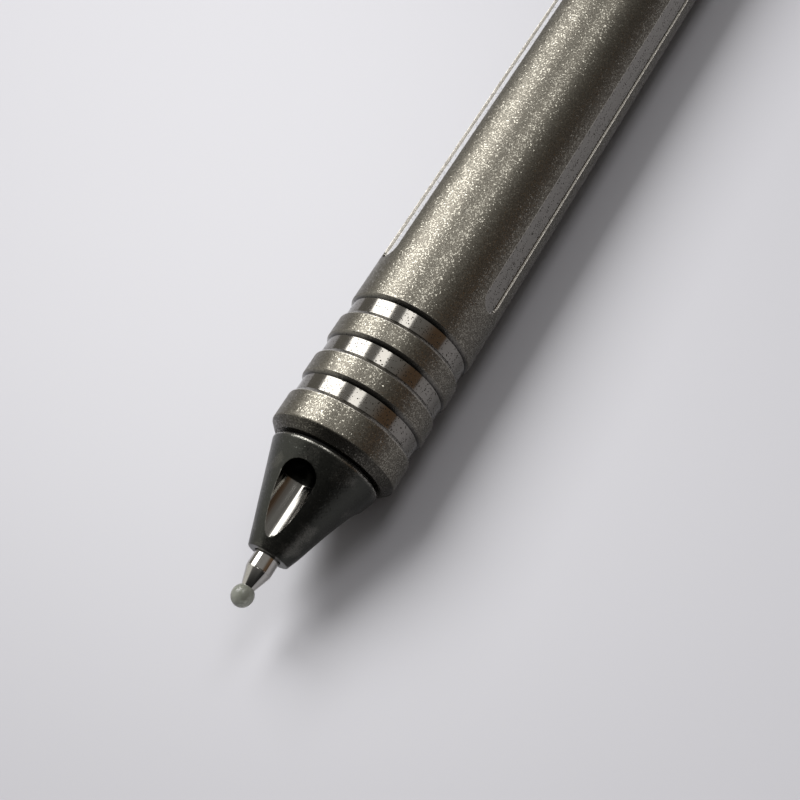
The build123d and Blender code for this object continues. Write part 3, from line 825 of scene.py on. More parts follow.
class Repeats:
    """The geometry node trees for what repeats or follows a path."""

    def __init__(self) -> None:
        """Builds every tree."""
        self.pockets = self.build_pockets()
        self.row = self.build_row()
        self.coil = self.build_coil()

    @staticmethod
    def start(name: str, **inputs: Any) -> Group:
        """Starts a geometry tree whose inputs end in its Finish.

        Args:
            name: the tree's name.
            inputs: each input's default number or socket type by its name in small letters.

        Returns:
            The tree.
        """
        named = {label.replace("_", " ").title(): value for label, value in inputs.items()}
        every = {"Geometry": "NodeSocketGeometry", **named, "Finish": "NodeSocketMaterial"}
        return Group(name, every, {"Geometry": "NodeSocketGeometry"}, "GeometryNodeTree")

    def build_pockets(self) -> NodeTree:
        """Cuts copies of a cutter out of a piece, evenly round the X axis.

        Returns:
            The tree.
        """
        tree = self.start("pockets_round_axis", cutter="NodeSocketObject", count=3, start_angle=0.0)
        given = tree.given
        cutter = tree.add("GeometryNodeObjectInfo", {"Object": given["Cutter"]}).outputs["Geometry"]
        points = tree.add("GeometryNodePoints", {"Count": given["Count"]}).outputs[0]
        step = tree.math("DIVIDE", 2 * pi, given["Count"])
        index = tree.add("GeometryNodeInputIndex").outputs[0]
        turn = tree.math("ADD", tree.math("MULTIPLY", index, step), given["Start Angle"])
        angles = tree.add("ShaderNodeCombineXYZ", {0: turn}).outputs[0]
        rotation = tree.add("FunctionNodeEulerToRotation", {0: angles}).outputs[0]
        inputs = {"Points": points, "Instance": cutter, "Rotation": rotation}
        copies = tree.add("GeometryNodeInstanceOnPoints", inputs).outputs[0]
        real = tree.add("GeometryNodeRealizeInstances", {0: copies}).outputs[0]
        inputs = {0: given["Geometry"], 1: real}
        return tree.close_dressed(
            tree.add("GeometryNodeMeshBoolean", inputs, operation="DIFFERENCE", solver="EXACT").outputs[0]
        )

    def build_row(self) -> NodeTree:
        """Repeats a piece's mesh along X.

        Returns:
            The tree.
        """
        tree = self.start("row_along_pen", count=2, spacing=0.005)
        offset = tree.add("ShaderNodeCombineXYZ", {0: tree.given["Spacing"]}).outputs[0]
        inputs = {"Count": tree.given["Count"], "Offset": offset}
        line = tree.add("GeometryNodeMeshLine", inputs, mode="OFFSET").outputs[0]
        inputs = {"Points": line, "Instance": tree.given["Geometry"]}
        return tree.close_dressed(tree.add("GeometryNodeInstanceOnPoints", inputs).outputs[0])

    def build_coil(self) -> NodeTree:
        """Winds a round wire along X, with one closer turn at each end.

        Returns:
            The tree.
        """
        path_points, ring_points = 505, 12
        sizes = {"front": 0.0, "length": 0.01, "end_pitch": 0.001, "mean_radius": 0.002, "wire_radius": 0.0002}
        tree = self.start("coil_spring", turns=7.0, **sizes)
        turns, pitch, radius = (tree.given[name] for name in ("Turns", "End Pitch", "Mean Radius"))
        line = tree.add("GeometryNodeCurvePrimitiveLine", {"End": (1.0, 0.0, 0.0)}).outputs[0]
        path = tree.add("GeometryNodeResampleCurve", {"Curve": line, "Count": path_points}).outputs[0]
        share = tree.add("GeometryNodeSplineParameter").outputs["Factor"]
        wound = tree.math("MULTIPLY", share, turns)
        inner = tree.math("SUBTRACT", turns, 2.0)
        middle = tree.math("SUBTRACT", tree.given["Length"], tree.math("MULTIPLY", pitch, 2.0))
        open_pitch = tree.math("DIVIDE", middle, inner)
        past = tree.math("MAXIMUM", tree.math("SUBTRACT", wound, 1.0), 0.0)
        rest = tree.math("MAXIMUM", tree.math("SUBTRACT", past, inner), 0.0)
        first = tree.math("MULTIPLY", tree.math("MINIMUM", wound, 1.0), pitch)
        second = tree.math("MULTIPLY", tree.math("MINIMUM", past, inner), open_pitch)
        third = tree.math("ADD", tree.math("MULTIPLY", rest, pitch), tree.given["Front"])
        along = tree.math("ADD", tree.math("ADD", first, second), third)
        angle = tree.math("MULTIPLY", wound, 2 * pi)
        across = tree.math("MULTIPLY", tree.math("COSINE", angle), radius)
        upward = tree.math("MULTIPLY", tree.math("SINE", angle), radius)
        position = tree.add("ShaderNodeCombineXYZ", {0: along, 1: across, 2: upward}).outputs[0]
        wire = tree.add("GeometryNodeSetPosition", {"Geometry": path, "Position": position}).outputs[0]
        inputs = {"Resolution": ring_points, "Radius": tree.given["Wire Radius"]}
        ring = tree.add("GeometryNodeCurvePrimitiveCircle", inputs).outputs[0]
        inputs = {"Curve": wire, "Profile Curve": ring, "Fill Caps": True}
        return tree.close_dressed(tree.add("GeometryNodeCurveToMesh", inputs).outputs[0])


REPEATS = Repeats()


@dataclass(frozen=True)
class Pockets:
    """Pockets milled along the pen, evenly round its axis."""

    clock: float
    radius: float
    centre: float
    count: int = 3

    def mill(self, piece: Item, outline: Sequence[Point], finish: Finish) -> None:
        """Cuts the pockets out of a piece.

        Args:
            piece: the piece.
            outline: x and radius of the cutter's points.
            finish: the piece's finish.
        """
        tool = turned("pocket_cutter", outline, finish)
        tool.data.transform(Matrix.Translation((0, 0, self.centre * MM)))
        start, dress = radians(self.clock), finish.material()
        grow(piece, REPEATS.pockets, cutter=tool, count=self.count, start_angle=start, finish=dress)
        bpy.data.objects.remove(tool)

    def hold(self, points: Array, beyond: Array | float = 0.0) -> Array:
        """Which points are in or on the pockets.

        Args:
            points: vertices in millimetres.
            beyond: how far each one is past the middle of a ball end, if the pockets have any.

        Returns:
            True where they are.
        """
        found = np.zeros(len(points), dtype=bool)
        for i in range(self.count):
            out, side = clock_frame(self.clock + 360 * i / self.count)
            height, across = points @ out - self.centre, points @ side
            found |= np.sqrt(height**2 + across**2 + beyond**2) < self.radius + NEAR
        return found


def place(piece: Item, body: Body, slot: Slot, node: str) -> None:
    """Puts a finished piece on its body and in place of its CAD node.

    Args:
        piece: the piece.
        body: the body that it rides on.
        slot: the piece's material slot; not used.
        node: the CAD node that it stands for.
    """
    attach(piece, body.value)
    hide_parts(node)
    LOG.info("%s on %s: %d faces", piece.name, body.value, len(piece.data.polygons))


def dress_node(node: str, finish: Finish) -> None:
    """Gives a CAD node its finish, and leaves its mesh alone.

    Args:
        node: the node's name.
        finish: its finish.
    """
    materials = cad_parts[node].data.materials
    materials.clear()
    materials.append(finish.material())


# The pen


@dataclass
class Barrel:
    """The turned tube with its grip grooves, polished flats, bolt slot and clip seat."""

    front: float = -2.175
    rear: float = 115.905
    radius: float = 6.35
    chamfer: float = 0.85
    rear_chamfer: float = 0.6
    grooves_front: float = 1.325
    groove_count: int = 3
    groove_width: float = 2.4
    groove_depth: float = 0.3
    groove_wall: float = 0.42
    groove_pitch: float = 4.4
    edge_round: float = 0.09
    shoulder_round: float = 0.25
    rear_round: float = 0.2
    flat_front: float = 17.075
    flat_rear: float = 85.925
    flat_width: float = 2.48
    flat_depth: float = 0.29
    flat_wall: float = 0.06
    flat_clocks: tuple = (81.5, 201.5, -38.5)
    bolt_place: float = 98.405
    travel: float = 6.0
    lock_angle: float = 35.0
    slot_half_width: float = 1.68
    slot_chamfer: float = 0.18
    slot_corner: float = 0.15
    bore: float = 4.0
    rim: float = 0.08
    refill_bore: float = 3.35
    socket_radius: float = 4.05
    socket_end: float = 4.675
    carrier_bore_front: float = 87.955
    cap_socket_front: float = 108.905
    cap_socket_radius: float = 4.65
    clip_clock: float = -121.5
    clip_pad_middle: float = 104.005
    clip_pad_length: float = 9.0
    clip_width: float = 4.0
    clip_pad_depth: float = 0.4

    def groove_fronts(self) -> list[float]:
        """Where the grip grooves start along the pen."""
        return [self.grooves_front + i * self.groove_pitch for i in range(self.groove_count)]

    def outer_line(self) -> list[Point]:
        """The outside of the half section, from the front face to the rear face.

        Returns:
            Points along the pen.
        """
        small, edge, deep = self.edge_round / 2, self.edge_round, self.radius - self.groove_depth
        corners: list[Corner] = [
            (self.front, self.socket_radius, 0.0),
            (self.front, self.radius - self.chamfer, edge),
            (self.front + self.chamfer, self.radius, self.shoulder_round),
        ]
        for start in self.groove_fronts():
            end = start + self.groove_width
            corners += [
                (start - self.rim, self.radius, 0.0),
                (start, self.radius, edge),
                (start + self.groove_wall, deep, small),
                (end - self.groove_wall, deep, small),
                (end, self.radius, edge),
                (end + self.rim, self.radius, 0.0),
            ]
        corners += [
            (self.rear - self.rear_chamfer, self.radius, self.rear_round),
            (self.rear, self.radius - self.rear_chamfer, edge),
            (self.rear, self.cap_socket_radius, 0.0),
        ]
        points = soften(corners, steps=5)
        head = [p for p in points if p[0] < self.flat_front - 1]
        tail = [p for p in points if p[0] > self.rear - 3]
        return head + [(x, self.radius) for x in self.stations()] + tail

    def stations(self) -> list[float]:
        """Where rings are needed along the straight wall: close together at the ends of the flats.

        Returns:
            Places along the pen.
        """
        margin, fine, coarse, middle_count, lead, stop = 0.2, 0.055, 0.7, 12, 1.0, 2.5
        count = int((self.flat_width / 2 + 0.1 + margin) / fine)
        front = [self.flat_front - margin + i * fine for i in range(count + 1)]
        rear = [self.flat_rear + margin - i * fine for i in range(count + 1)][::-1]
        middle = list(np.linspace(front[-1], rear[0], middle_count + 2)[1:-1])
        behind = list(np.arange(self.flat_rear + lead, self.rear - stop, coarse))
        return front + middle + rear + behind

    def columns(self) -> Array:
        """The clock angles of the mesh's lines along the pen, close together at the flats.

        Returns:
            Angles in radians, in rising order.
        """
        half, inner_step, wide_gap, wide_step = self.flat_width / 2, 0.07, radians(3), radians(1.7)
        by_wall = (-0.1, -0.06, -0.04, -0.02, 0.0, 0.03, 0.09, 0.2)
        offsets = list(np.arange(0.0, half - 0.12, inner_step)) + [half + gap for gap in by_wall]
        fine = [asin(o / self.radius) for o in sorted({-o for o in offsets} | set(offsets))]
        angles = sorted((radians(clock) + a) % (2 * pi) for clock in self.flat_clocks for a in fine)
        full: list[float] = []
        for here, there in zip(angles, angles[1:] + [angles[0] + 2 * pi]):
            gap = there - here
            parts = max(1, round(gap / wide_step)) if gap > wide_gap else 1
            full += [here + gap * i / parts for i in range(parts)]
        return np.array(full)

    def over_flat(self, points: Array, clock: float) -> tuple[Array, Array]:
        """Where points are against one flat.

        Args:
            points: points in millimetres.
            clock: the flat's clock angle.

        Returns:
            How far they are outside its outline, negative inside, and their height over its floor.
        """
        out, side = clock_frame(clock)
        half = self.flat_width / 2
        nearest = np.clip(points[:, 0], self.flat_front + half, self.flat_rear - half)
        distance = np.hypot(points[:, 0] - nearest, points @ side) - half
        return distance, points @ out - (self.radius - self.flat_depth)

    def sink_flats(self, points: Array) -> Array:
        """Sinks the outside's points to the flats' floors.

        Args:
            points: outside points in millimetres.

        Returns:
            The moved points.
        """
        moved = points.copy()
        outside = np.hypot(points[:, 1], points[:, 2]) > self.radius - NEAR
        for clock in self.flat_clocks:
            distance, height = self.over_flat(moved, clock)
            share = np.clip(-distance / self.flat_wall, 0, 1)
            share = share * share * (3 - 2 * share)
            drop = np.where((height > -NEAR) & (distance < 0) & outside, height * share, 0.0)
            moved -= drop[:, None] * clock_frame(clock)[0]
        return moved

    def shell(self) -> Item:
        """The tube with its grooves and flats.

        Returns:
            The piece.
        """
        inner = [
            (self.cap_socket_front, self.cap_socket_radius),
            (self.cap_socket_front, self.bore),
            (self.carrier_bore_front, self.bore),
            (self.carrier_bore_front, self.refill_bore),
            (self.socket_end, self.refill_bore),
            (self.socket_end, self.socket_radius),
        ]
        line, angles = np.array(self.outer_line() + inner), self.columns()
        rows, count = len(line), len(angles)
        points = self.sink_flats(spin(line, angles))
        i, j = np.meshgrid(np.arange(count), np.arange(rows), indexing="ij")
        a, b = i * rows + j, i * rows + (j + 1) % rows
        c, d = ((i + 1) % count) * rows + (j + 1) % rows, ((i + 1) % count) * rows + j
        faces = np.stack([a, b, c, d], -1).reshape(-1, 4).tolist()
        return make_piece("barrel_shell", points, faces, TITANIUM)

    def slot_ring(self, radius: float, spread: float) -> Array:
        """The bolt slot's outline at one distance from the axis.

        Args:
            radius: the distance from the axis.
            spread: how much wider than the slot the outline is, all round.

        Returns:
            The outline's points in millimetres.
        """
        half, corner = self.slot_half_width + spread, self.slot_corner
        first, second, lock = self.bolt_place, self.bolt_place + self.travel, radians(self.lock_angle)
        arc, quarter, short = np.linspace(pi, 0, 25), np.linspace(0, pi / 2, 13), np.linspace(0, pi / 2, 5)
        spots = [(first, lock, cos(a), sin(a)) for a in arc]
        bend = [(1 + corner - corner * cos(a), 1 + corner - corner * sin(a)) for a in short]
        spots += [(first, 0.0, u, v) for u, v in bend]
        spots += [(second, 0.0, -u, v) for u, v in bend[::-1]]
        spots += [(second, lock, cos(a), sin(a)) for a in arc]
        spots += [(second, 0.0, cos(a), -sin(a)) for a in quarter]
        spots += [(first, 0.0, -sin(a), -cos(a)) for a in quarter]
        points = []
        for place_x, clock, along, across in spots:
            angle = clock + asin(across * half / radius)
            points.append((place_x + along * half, -radius * sin(angle), radius * cos(angle)))
        return np.array(points)

    def cut_slot(self, shell: Item) -> None:
        """Cuts the C-shaped bolt slot with a small chamfer round its rim.

        Args:
            shell: the barrel's tube.
        """
        under, over, clear = 0.6, 0.05, 1.0
        rings = [
            self.slot_ring(self.bore - under, 0.0),
            self.slot_ring(self.radius - self.slot_chamfer, 0.0),
            self.slot_ring(self.radius + over, self.slot_chamfer + over),
            self.slot_ring(self.radius + clear, self.slot_chamfer + over),
        ]
        cut(shell, loft("slot_cutter", rings, TITANIUM))

    def cut_clip_seat(self, shell: Item) -> None:
        """Mills the flat seat of the clip's pad.

        Args:
            shell: the barrel's tube.
        """
        out, side = clock_frame(self.clip_clock)
        low, middle, gap = self.radius - self.clip_pad_depth, self.clip_pad_middle, 0.05
        length, width = self.clip_pad_length / 2 + gap, self.clip_width / 2 + gap
        corners = [(-length, -width), (length, -width), (length, width), (-length, width)]
        outline = np.array([np.array([middle + u, 0, 0]) + side * v for u, v in corners])
        rings = [outline + out * height for height in (low, low + 3)]
        cut(shell, loft("seat_cutter", rings, TITANIUM))

    def polish(self, points: Array) -> Array:
        """Where the metal is polished: the grooves' and the flats' floors.

        Args:
            points: vertices in millimetres.

        Returns:
            1 on polished places and 0 elsewhere.
        """
        run, radius = points[:, 0] - self.grooves_front, np.hypot(points[:, 1], points[:, 2])
        low, high = self.cap_socket_radius + NEAR, self.radius - self.groove_depth + 3 * NEAR
        in_grooves = (run > 0) & (run < self.groove_pitch * self.groove_count) & (radius > low) & (radius < high)
        return np.maximum(in_grooves, self.on_flats(points, -0.7 * self.flat_wall))

    def on_flats(self, points: Array, margin: float = 3 * NEAR) -> Array:
        """1 on the floors of the flats, and up to a margin outside them."""
        places = [self.over_flat(points, clock) for clock in self.flat_clocks]
        return np.any([(gap < margin) & (np.abs(height) < 2 * NEAR) for gap, height in places], axis=0)

    def dirt(self, points: Array) -> Array:
        """Where shade is painted: dark on the rear wall of each grip groove and, less, on the front chamfer.

        Args:
            points: vertices in millimetres.

        Returns:
            From 0 to 1 where the shade is painted.
        """
        chamfer_shade, x, radius = 0.6, points[:, 0], np.hypot(points[:, 1], points[:, 2])
        found = np.zeros(len(points), dtype=bool)
        lower = (radius < self.radius - 4 * NEAR) & (radius > self.radius - self.groove_depth + NEAR / 2)
        # painted shade on the rear wall of each grip groove
        for start in self.groove_fronts():
            end = start + self.groove_width
            found |= (x > end - self.groove_wall - 2 * NEAR) & (x < end + NEAR) & lower
        # painted shade on the front chamfer, at a lower strength
        end, foot = self.front + self.chamfer - 5 * NEAR, self.radius - self.chamfer - 10 * NEAR
        return np.maximum(found, chamfer_shade * ((x < end) & (radius > foot)))

    def edges(self, points: Array) -> Array:
        """Where the edges are worn bright.

        Args:
            points: vertices in millimetres.

        Returns:
            From 0 to 1 on the worn edges.
        """
        radius = np.hypot(points[:, 1], points[:, 2])
        value = np.zeros(len(points))
        flat_reach, groove_reach, front_wear, rear_wear = 0.05, 0.07, 0.55, 0.12
        for clock in self.flat_clocks:
            distance, height = self.over_flat(points, clock)
            worn = np.clip(1.3 - np.abs(distance + NEAR) / flat_reach, 0, 1)
            value = np.maximum(value, np.where(height > -16 * NEAR, worn, 0))
        for start in self.groove_fronts():
            for rim, wear in ((start, front_wear), (start + self.groove_width, rear_wear)):
                worn = np.clip(1.1 - np.abs(points[:, 0] - rim) / groove_reach, 0, wear)
                value = np.maximum(value, np.where(radius > self.radius - 9 * NEAR, worn, 0))
        return value

    def build(self) -> None:
        """Builds and dresses the barrel."""
        shell = self.shell()
        self.cut_slot(shell)
        self.cut_clip_seat(shell)
        # painted shade for the groove walls and the front chamfer is written here as one of these attributes
        paint(shell, polish=self.polish, edge=self.edges, flat=self.on_flats, dirt=self.dirt)
        place(shell, Body.BARREL, Slot.TITANIUM, "barrel")


@dataclass
class NoseCone:
    """The dark cone with three ball-ended pockets, and the seal behind it."""

    front: float = -12.125
    rear: float = -2.45
    front_radius: float = 2.0
    base_radius: float = 5.52
    bore: float = 1.28
    pockets: Pockets = Pockets(clock=11.0, radius=1.7, centre=4.08)
    pocket_depth: float = 6.35
    stub_radius: float = 4.0
    stub_end: float = 4.275
    cavity_radius: float = 3.2
    seat: float = -3.125
    throat_radius: float = 1.95
    point_bore_length: float = 4.9
    seal_rear: float = -2.175
    seal_radius: float = 4.85
    seal_gap: float = 0.05
    seal_rounding: float = 0.13
    rings: int = 60

    def cone(self) -> Item:
        """The turned cone with its threaded stub.

        Returns:
            The piece.
        """
        corners = [
            (self.front, self.bore, 0.08),
            (self.front, self.front_radius, 0.16),
            (self.rear, self.base_radius, 0.32),
            (self.rear, self.stub_radius, 0.0),
            (self.stub_end, self.stub_radius, 0.2),
            (self.stub_end, self.cavity_radius, 0.0),
            (self.seat, self.cavity_radius, 0.0),
            (self.seat, self.throat_radius, 0.0),
            (self.front + self.point_bore_length, self.throat_radius, 0.0),
            (self.front + self.point_bore_length, self.bore, 0.0),
        ]
        line = soften(corners)
        first = next(i for i, (x, _) in enumerate(line) if x > self.front + 0.3)
        start, end = np.array(line[first - 1]), np.array(line[first])
        between = [tuple(start + (end - start) * i / self.rings) for i in range(1, self.rings)]
        return turned("nose_cone_shell", line[:first] + between + line[first:], DARK, segments=240)

    def cutter_line(self) -> list[Point]:
        """The half outline of the pockets' ball-ended cutter.

        Returns:
            Its points.
        """
        radius, end, ahead = self.pockets.radius, self.front + self.pocket_depth, self.front - 1.0
        line = [(ahead, 0.0), (ahead, radius)] + [(x, radius) for x in np.linspace(self.front, end, 24)]
        line += [(end + radius * sin(a), radius * cos(a)) for a in np.linspace(0, pi / 2, 20)[1:-1]]
        return line + [(end + radius, 0.0)]

    def in_pockets(self, points: Array) -> Array:
        """Which points are in or on the pockets."""
        return self.pockets.hold(points, np.maximum(self.past_flutes(points), 0))

    def past_flutes(self, points: Array) -> Array:
        """How far points are behind the start of the pockets' ball ends."""
        return points[:, 0] - self.front - self.pocket_depth

    def polish(self, points: Array) -> Array:
        """1 where the metal is bare: in the pockets' flutes, in front of their ball ends."""
        return self.in_pockets(points) & (self.past_flutes(points) < NEAR)

    def edges(self, points: Array) -> Array:
        """Up to 1 where the coating is worn: round the cone's base and where flute and ball end meet."""
        base = np.clip(1 - np.abs(points[:, 0] - self.rear + 0.15) / 0.3, 0, 1)
        return np.maximum(base, self.in_pockets(points) & (np.abs(self.past_flutes(points)) < 2 * NEAR))

    def dirt(self, points: Array) -> Array:
        """1 where shade is painted: dark in the pockets' ball ends."""
        return self.in_pockets(points) & (self.past_flutes(points) > 5 * NEAR)

    def build(self) -> None:
        """Builds and dresses the cone and the seal."""
        cone = self.cone()
        self.pockets.mill(cone, self.cutter_line(), DARK)
        # painted shade for the pockets' ball ends is written here as one of these attributes
        paint(cone, polish=self.polish, edge=self.edges, dirt=self.dirt)
        place(cone, Body.BARREL, Slot.DARK, "nose_cone")
        inner, outer = self.stub_radius + self.seal_gap, self.seal_radius
        ring = seal("nose_seal_ring", self.rear, self.seal_rear, inner, outer, self.seal_rounding)
        place(ring, Body.BARREL, Slot.RUBBER, "nose_seal")


@dataclass
class WritingPoint:
    """The refill's metal point, its ball and the drop of wax on it."""

    front: float = -16.345
    lip: float = -15.875
    shoulder: float = -13.625
    rear: float = -6.925
    radius: float = 1.2
    lip_radius: float = 0.4
    shank_radius: float = 0.95
    shank_length: float = 4.0
    ball_radius: float = 0.35
    wax_radius: float = 1.03
    wax_half_length: float = 1.06
    wax_middle: float = -16.075
    bore: float = 0.35
    mouth_radius: float = 0.36
    collar_place: float = 0.55
    collar_step: tuple = (0.07, 0.05)
    ring_groove: tuple = (0.04, 0.03)
    film: float = 0.02

    def slope(self) -> float:
        """How fast the point's cone widens."""
        return (self.radius - self.lip_radius) / (self.shoulder - self.lip)

    def build(self) -> None:
        """Builds the point, the ball and the wax."""
        collar = self.lip + self.collar_place
        collar_radius = self.lip_radius + self.collar_place * self.slope()
        step, rise = self.collar_step
        width, depth = self.ring_groove
        corners = [
            (self.lip, self.mouth_radius, 0.02),
            (self.lip, self.lip_radius, 0.03),
            (collar, collar_radius, 0.05),
            (collar + step, collar_radius + rise, 0.05),
            (self.shoulder, self.radius, 0.04),
            (self.shoulder + width, self.radius - depth, 0.02),
            (self.shoulder + 2 * width, self.radius, 0.03),
            (self.rear, self.radius, 0.05),
            (self.rear, self.shank_radius, 0.0),
            (self.rear + self.shank_length, self.shank_radius, 0.1),
            (self.rear + self.shank_length, self.bore, 0.0),
            (self.shoulder, self.bore, 0.0),
        ]
        point = turned("refill_point_turned", soften(corners, steps=5), NICKEL)
        place(point, Body.REFILL, Slot.NICKEL, "refill_point")
        centre = self.front + self.ball_radius
        half_turn = np.linspace(0, pi, 25)
        arc = [(centre - self.ball_radius * cos(a), self.ball_radius * sin(a)) for a in half_turn]
        arc[0], arc[-1] = (arc[0][0], 0.0), (arc[-1][0], 0.0)
        ball = turned("writing_ball_ground", arc, CARBIDE, segments=48)
        place(ball, Body.REFILL, Slot.CARBIDE, "writing_ball")
        place(self.wax(), Body.REFILL, Slot.WAX, "wax_bead")

    def wax(self) -> Item:
        """The drop: nearly round, with a soft foot where it meets the point.

        Returns:
            The piece.
        """
        film, round_share, foot_share, ball_share, inner_radius = self.film, 0.82, 1.02, 0.62, 0.22
        line: list[Point] = []
        for a in np.linspace(0, pi * round_share, 40):
            line.append((self.wax_middle - self.wax_half_length * cos(a), self.wax_radius * sin(a)))
        foot_x = self.wax_middle + self.wax_half_length * foot_share
        foot = (foot_x, self.lip_radius + film + self.slope() * (foot_x - self.lip))
        line.append(((line[-1][0] + foot[0]) / 2, (line[-1][1] + foot[1]) / 2 - film))
        line += [foot, (self.lip - film, self.lip_radius + film), (self.lip - film, inner_radius)]
        centre, ball = self.front + self.ball_radius, self.ball_radius + film
        line += [(centre - ball * cos(a), ball * sin(a)) for a in np.linspace(pi * ball_share, 0, 14)]
        line[0], line[-1] = (line[0][0], 0.0), (line[-1][0], 0.0)
        return turned("wax_drop_soft", line, WAX)


@dataclass
class Refill:
    """The parts of the refill that stay inside the pen, which keep their CAD shapes."""

    moulded: Finish = WHITE
    tube: Finish = CLEAR
    ink: Finish = INK
    follower: Finish = GREASE

    def build(self) -> None:
        """Dresses the refill's CAD nodes."""
        dress_node("refill_nose", self.moulded)
        dress_node("refill_tube", self.tube)
        dress_node("ink_column", self.ink)
        dress_node("ink_follower", self.follower)
        dress_node("refill_plug", self.moulded)


@dataclass
class Bolt:
    """The bolt knob, its carrier and the spring that it works against."""

    place_x: float = 98.405
    knob_bottom: float = 6.75
    knob_height: float = 3.6
    knob_radius: float = 3.0
    foot_radius: float = 2.5
    foot_height: float = 0.7
    waist_sag: float = 0.7
    rim_height: float = 1.3
    stem_radius: float = 1.6
    thread_radius: float = 1.45
    carrier_radius: float = 3.95
    stem_foot: float = 0.37
    dish_radius: float = 0.9
    dish_depth: float = 0.15
    spring_seat: float = -3.125
    flange: float = 9.175
    spring_gap: float = 0.22
    spring_turns: float = 7.0
    spring_end_pitch: float = 0.86
    spring_radius: float = 2.45
    wire_radius: float = 0.2

    def knob(self) -> Item:
        """The turned spool on its stem, with a shallow dish in its top.

        Returns:
            The piece.
        """
        low, high = self.knob_bottom, self.knob_bottom + self.knob_height
        corners: list[Corner] = [
            (self.stem_foot, 0.0, 0.0),
            (self.stem_foot, self.thread_radius, 0.1),
            (self.carrier_radius, self.thread_radius, 0.0),
            (self.carrier_radius, self.stem_radius, 0.0),
            (low, self.stem_radius, 0.0),
            (low, self.foot_radius, 0.12),
            (low + self.foot_height, self.foot_radius, 0.12),
        ]
        start, end = low + self.foot_height, high - self.rim_height
        for share in (0.2, 0.4, 0.6, 0.8):
            sag = sin(pi * share) * self.waist_sag
            straight = self.foot_radius + (self.knob_radius - self.foot_radius) * share
            corners.append((start + (end - start) * share, straight - sag, 0.3))
        corners += [
            (end, self.knob_radius, 0.15),
            (high - 0.3, self.knob_radius, 0.15),
            (high, self.knob_radius - 0.35, 0.2),
            (high, self.knob_radius - 0.9, 0.1),
            (high - self.dish_depth, self.dish_radius, 0.6),
            (high - 1.2 * self.dish_depth, 0.0, 0.0),
        ]
        knob = turned("bolt_knob_spool", soften(corners), TURNED, segments=128)
        upright = Matrix.Rotation(-pi / 2, 4, "Y")
        knob.data.transform(Matrix.Translation((self.place_x * MM, 0, 0)) @ upright)
        tidy_mesh(knob)
        return knob

    def spring(self) -> Item:
        """The return spring between the nose's seat and the refill's flange.

        Returns:
            The piece.
        """
        wire = add_object("return_spring_wire", bpy.data.meshes.new("return_spring_wire"))
        front, rear = self.spring_seat + self.spring_gap, self.flange - self.spring_gap
        return grow(
            wire,
            REPEATS.coil,
            front=front * MM,
            length=(rear - front) * MM,
            turns=self.spring_turns,
            end_pitch=self.spring_end_pitch * MM,
            mean_radius=self.spring_radius * MM,
            wire_radius=self.wire_radius * MM,
            finish=SPRING.material(),
        )

    def build(self) -> None:
        """Builds the knob and the spring, and dresses the carrier."""
        place(self.knob(), Body.BOLT, Slot.TURNED, "bolt_knob")
        dress_node("bolt_carrier", BRASS)
        dress_node("carrier_seal", RUBBER)
        dress_node("carrier_pad", PAD)
        place(self.spring(), Body.BARREL, Slot.SPRING, "return_spring")


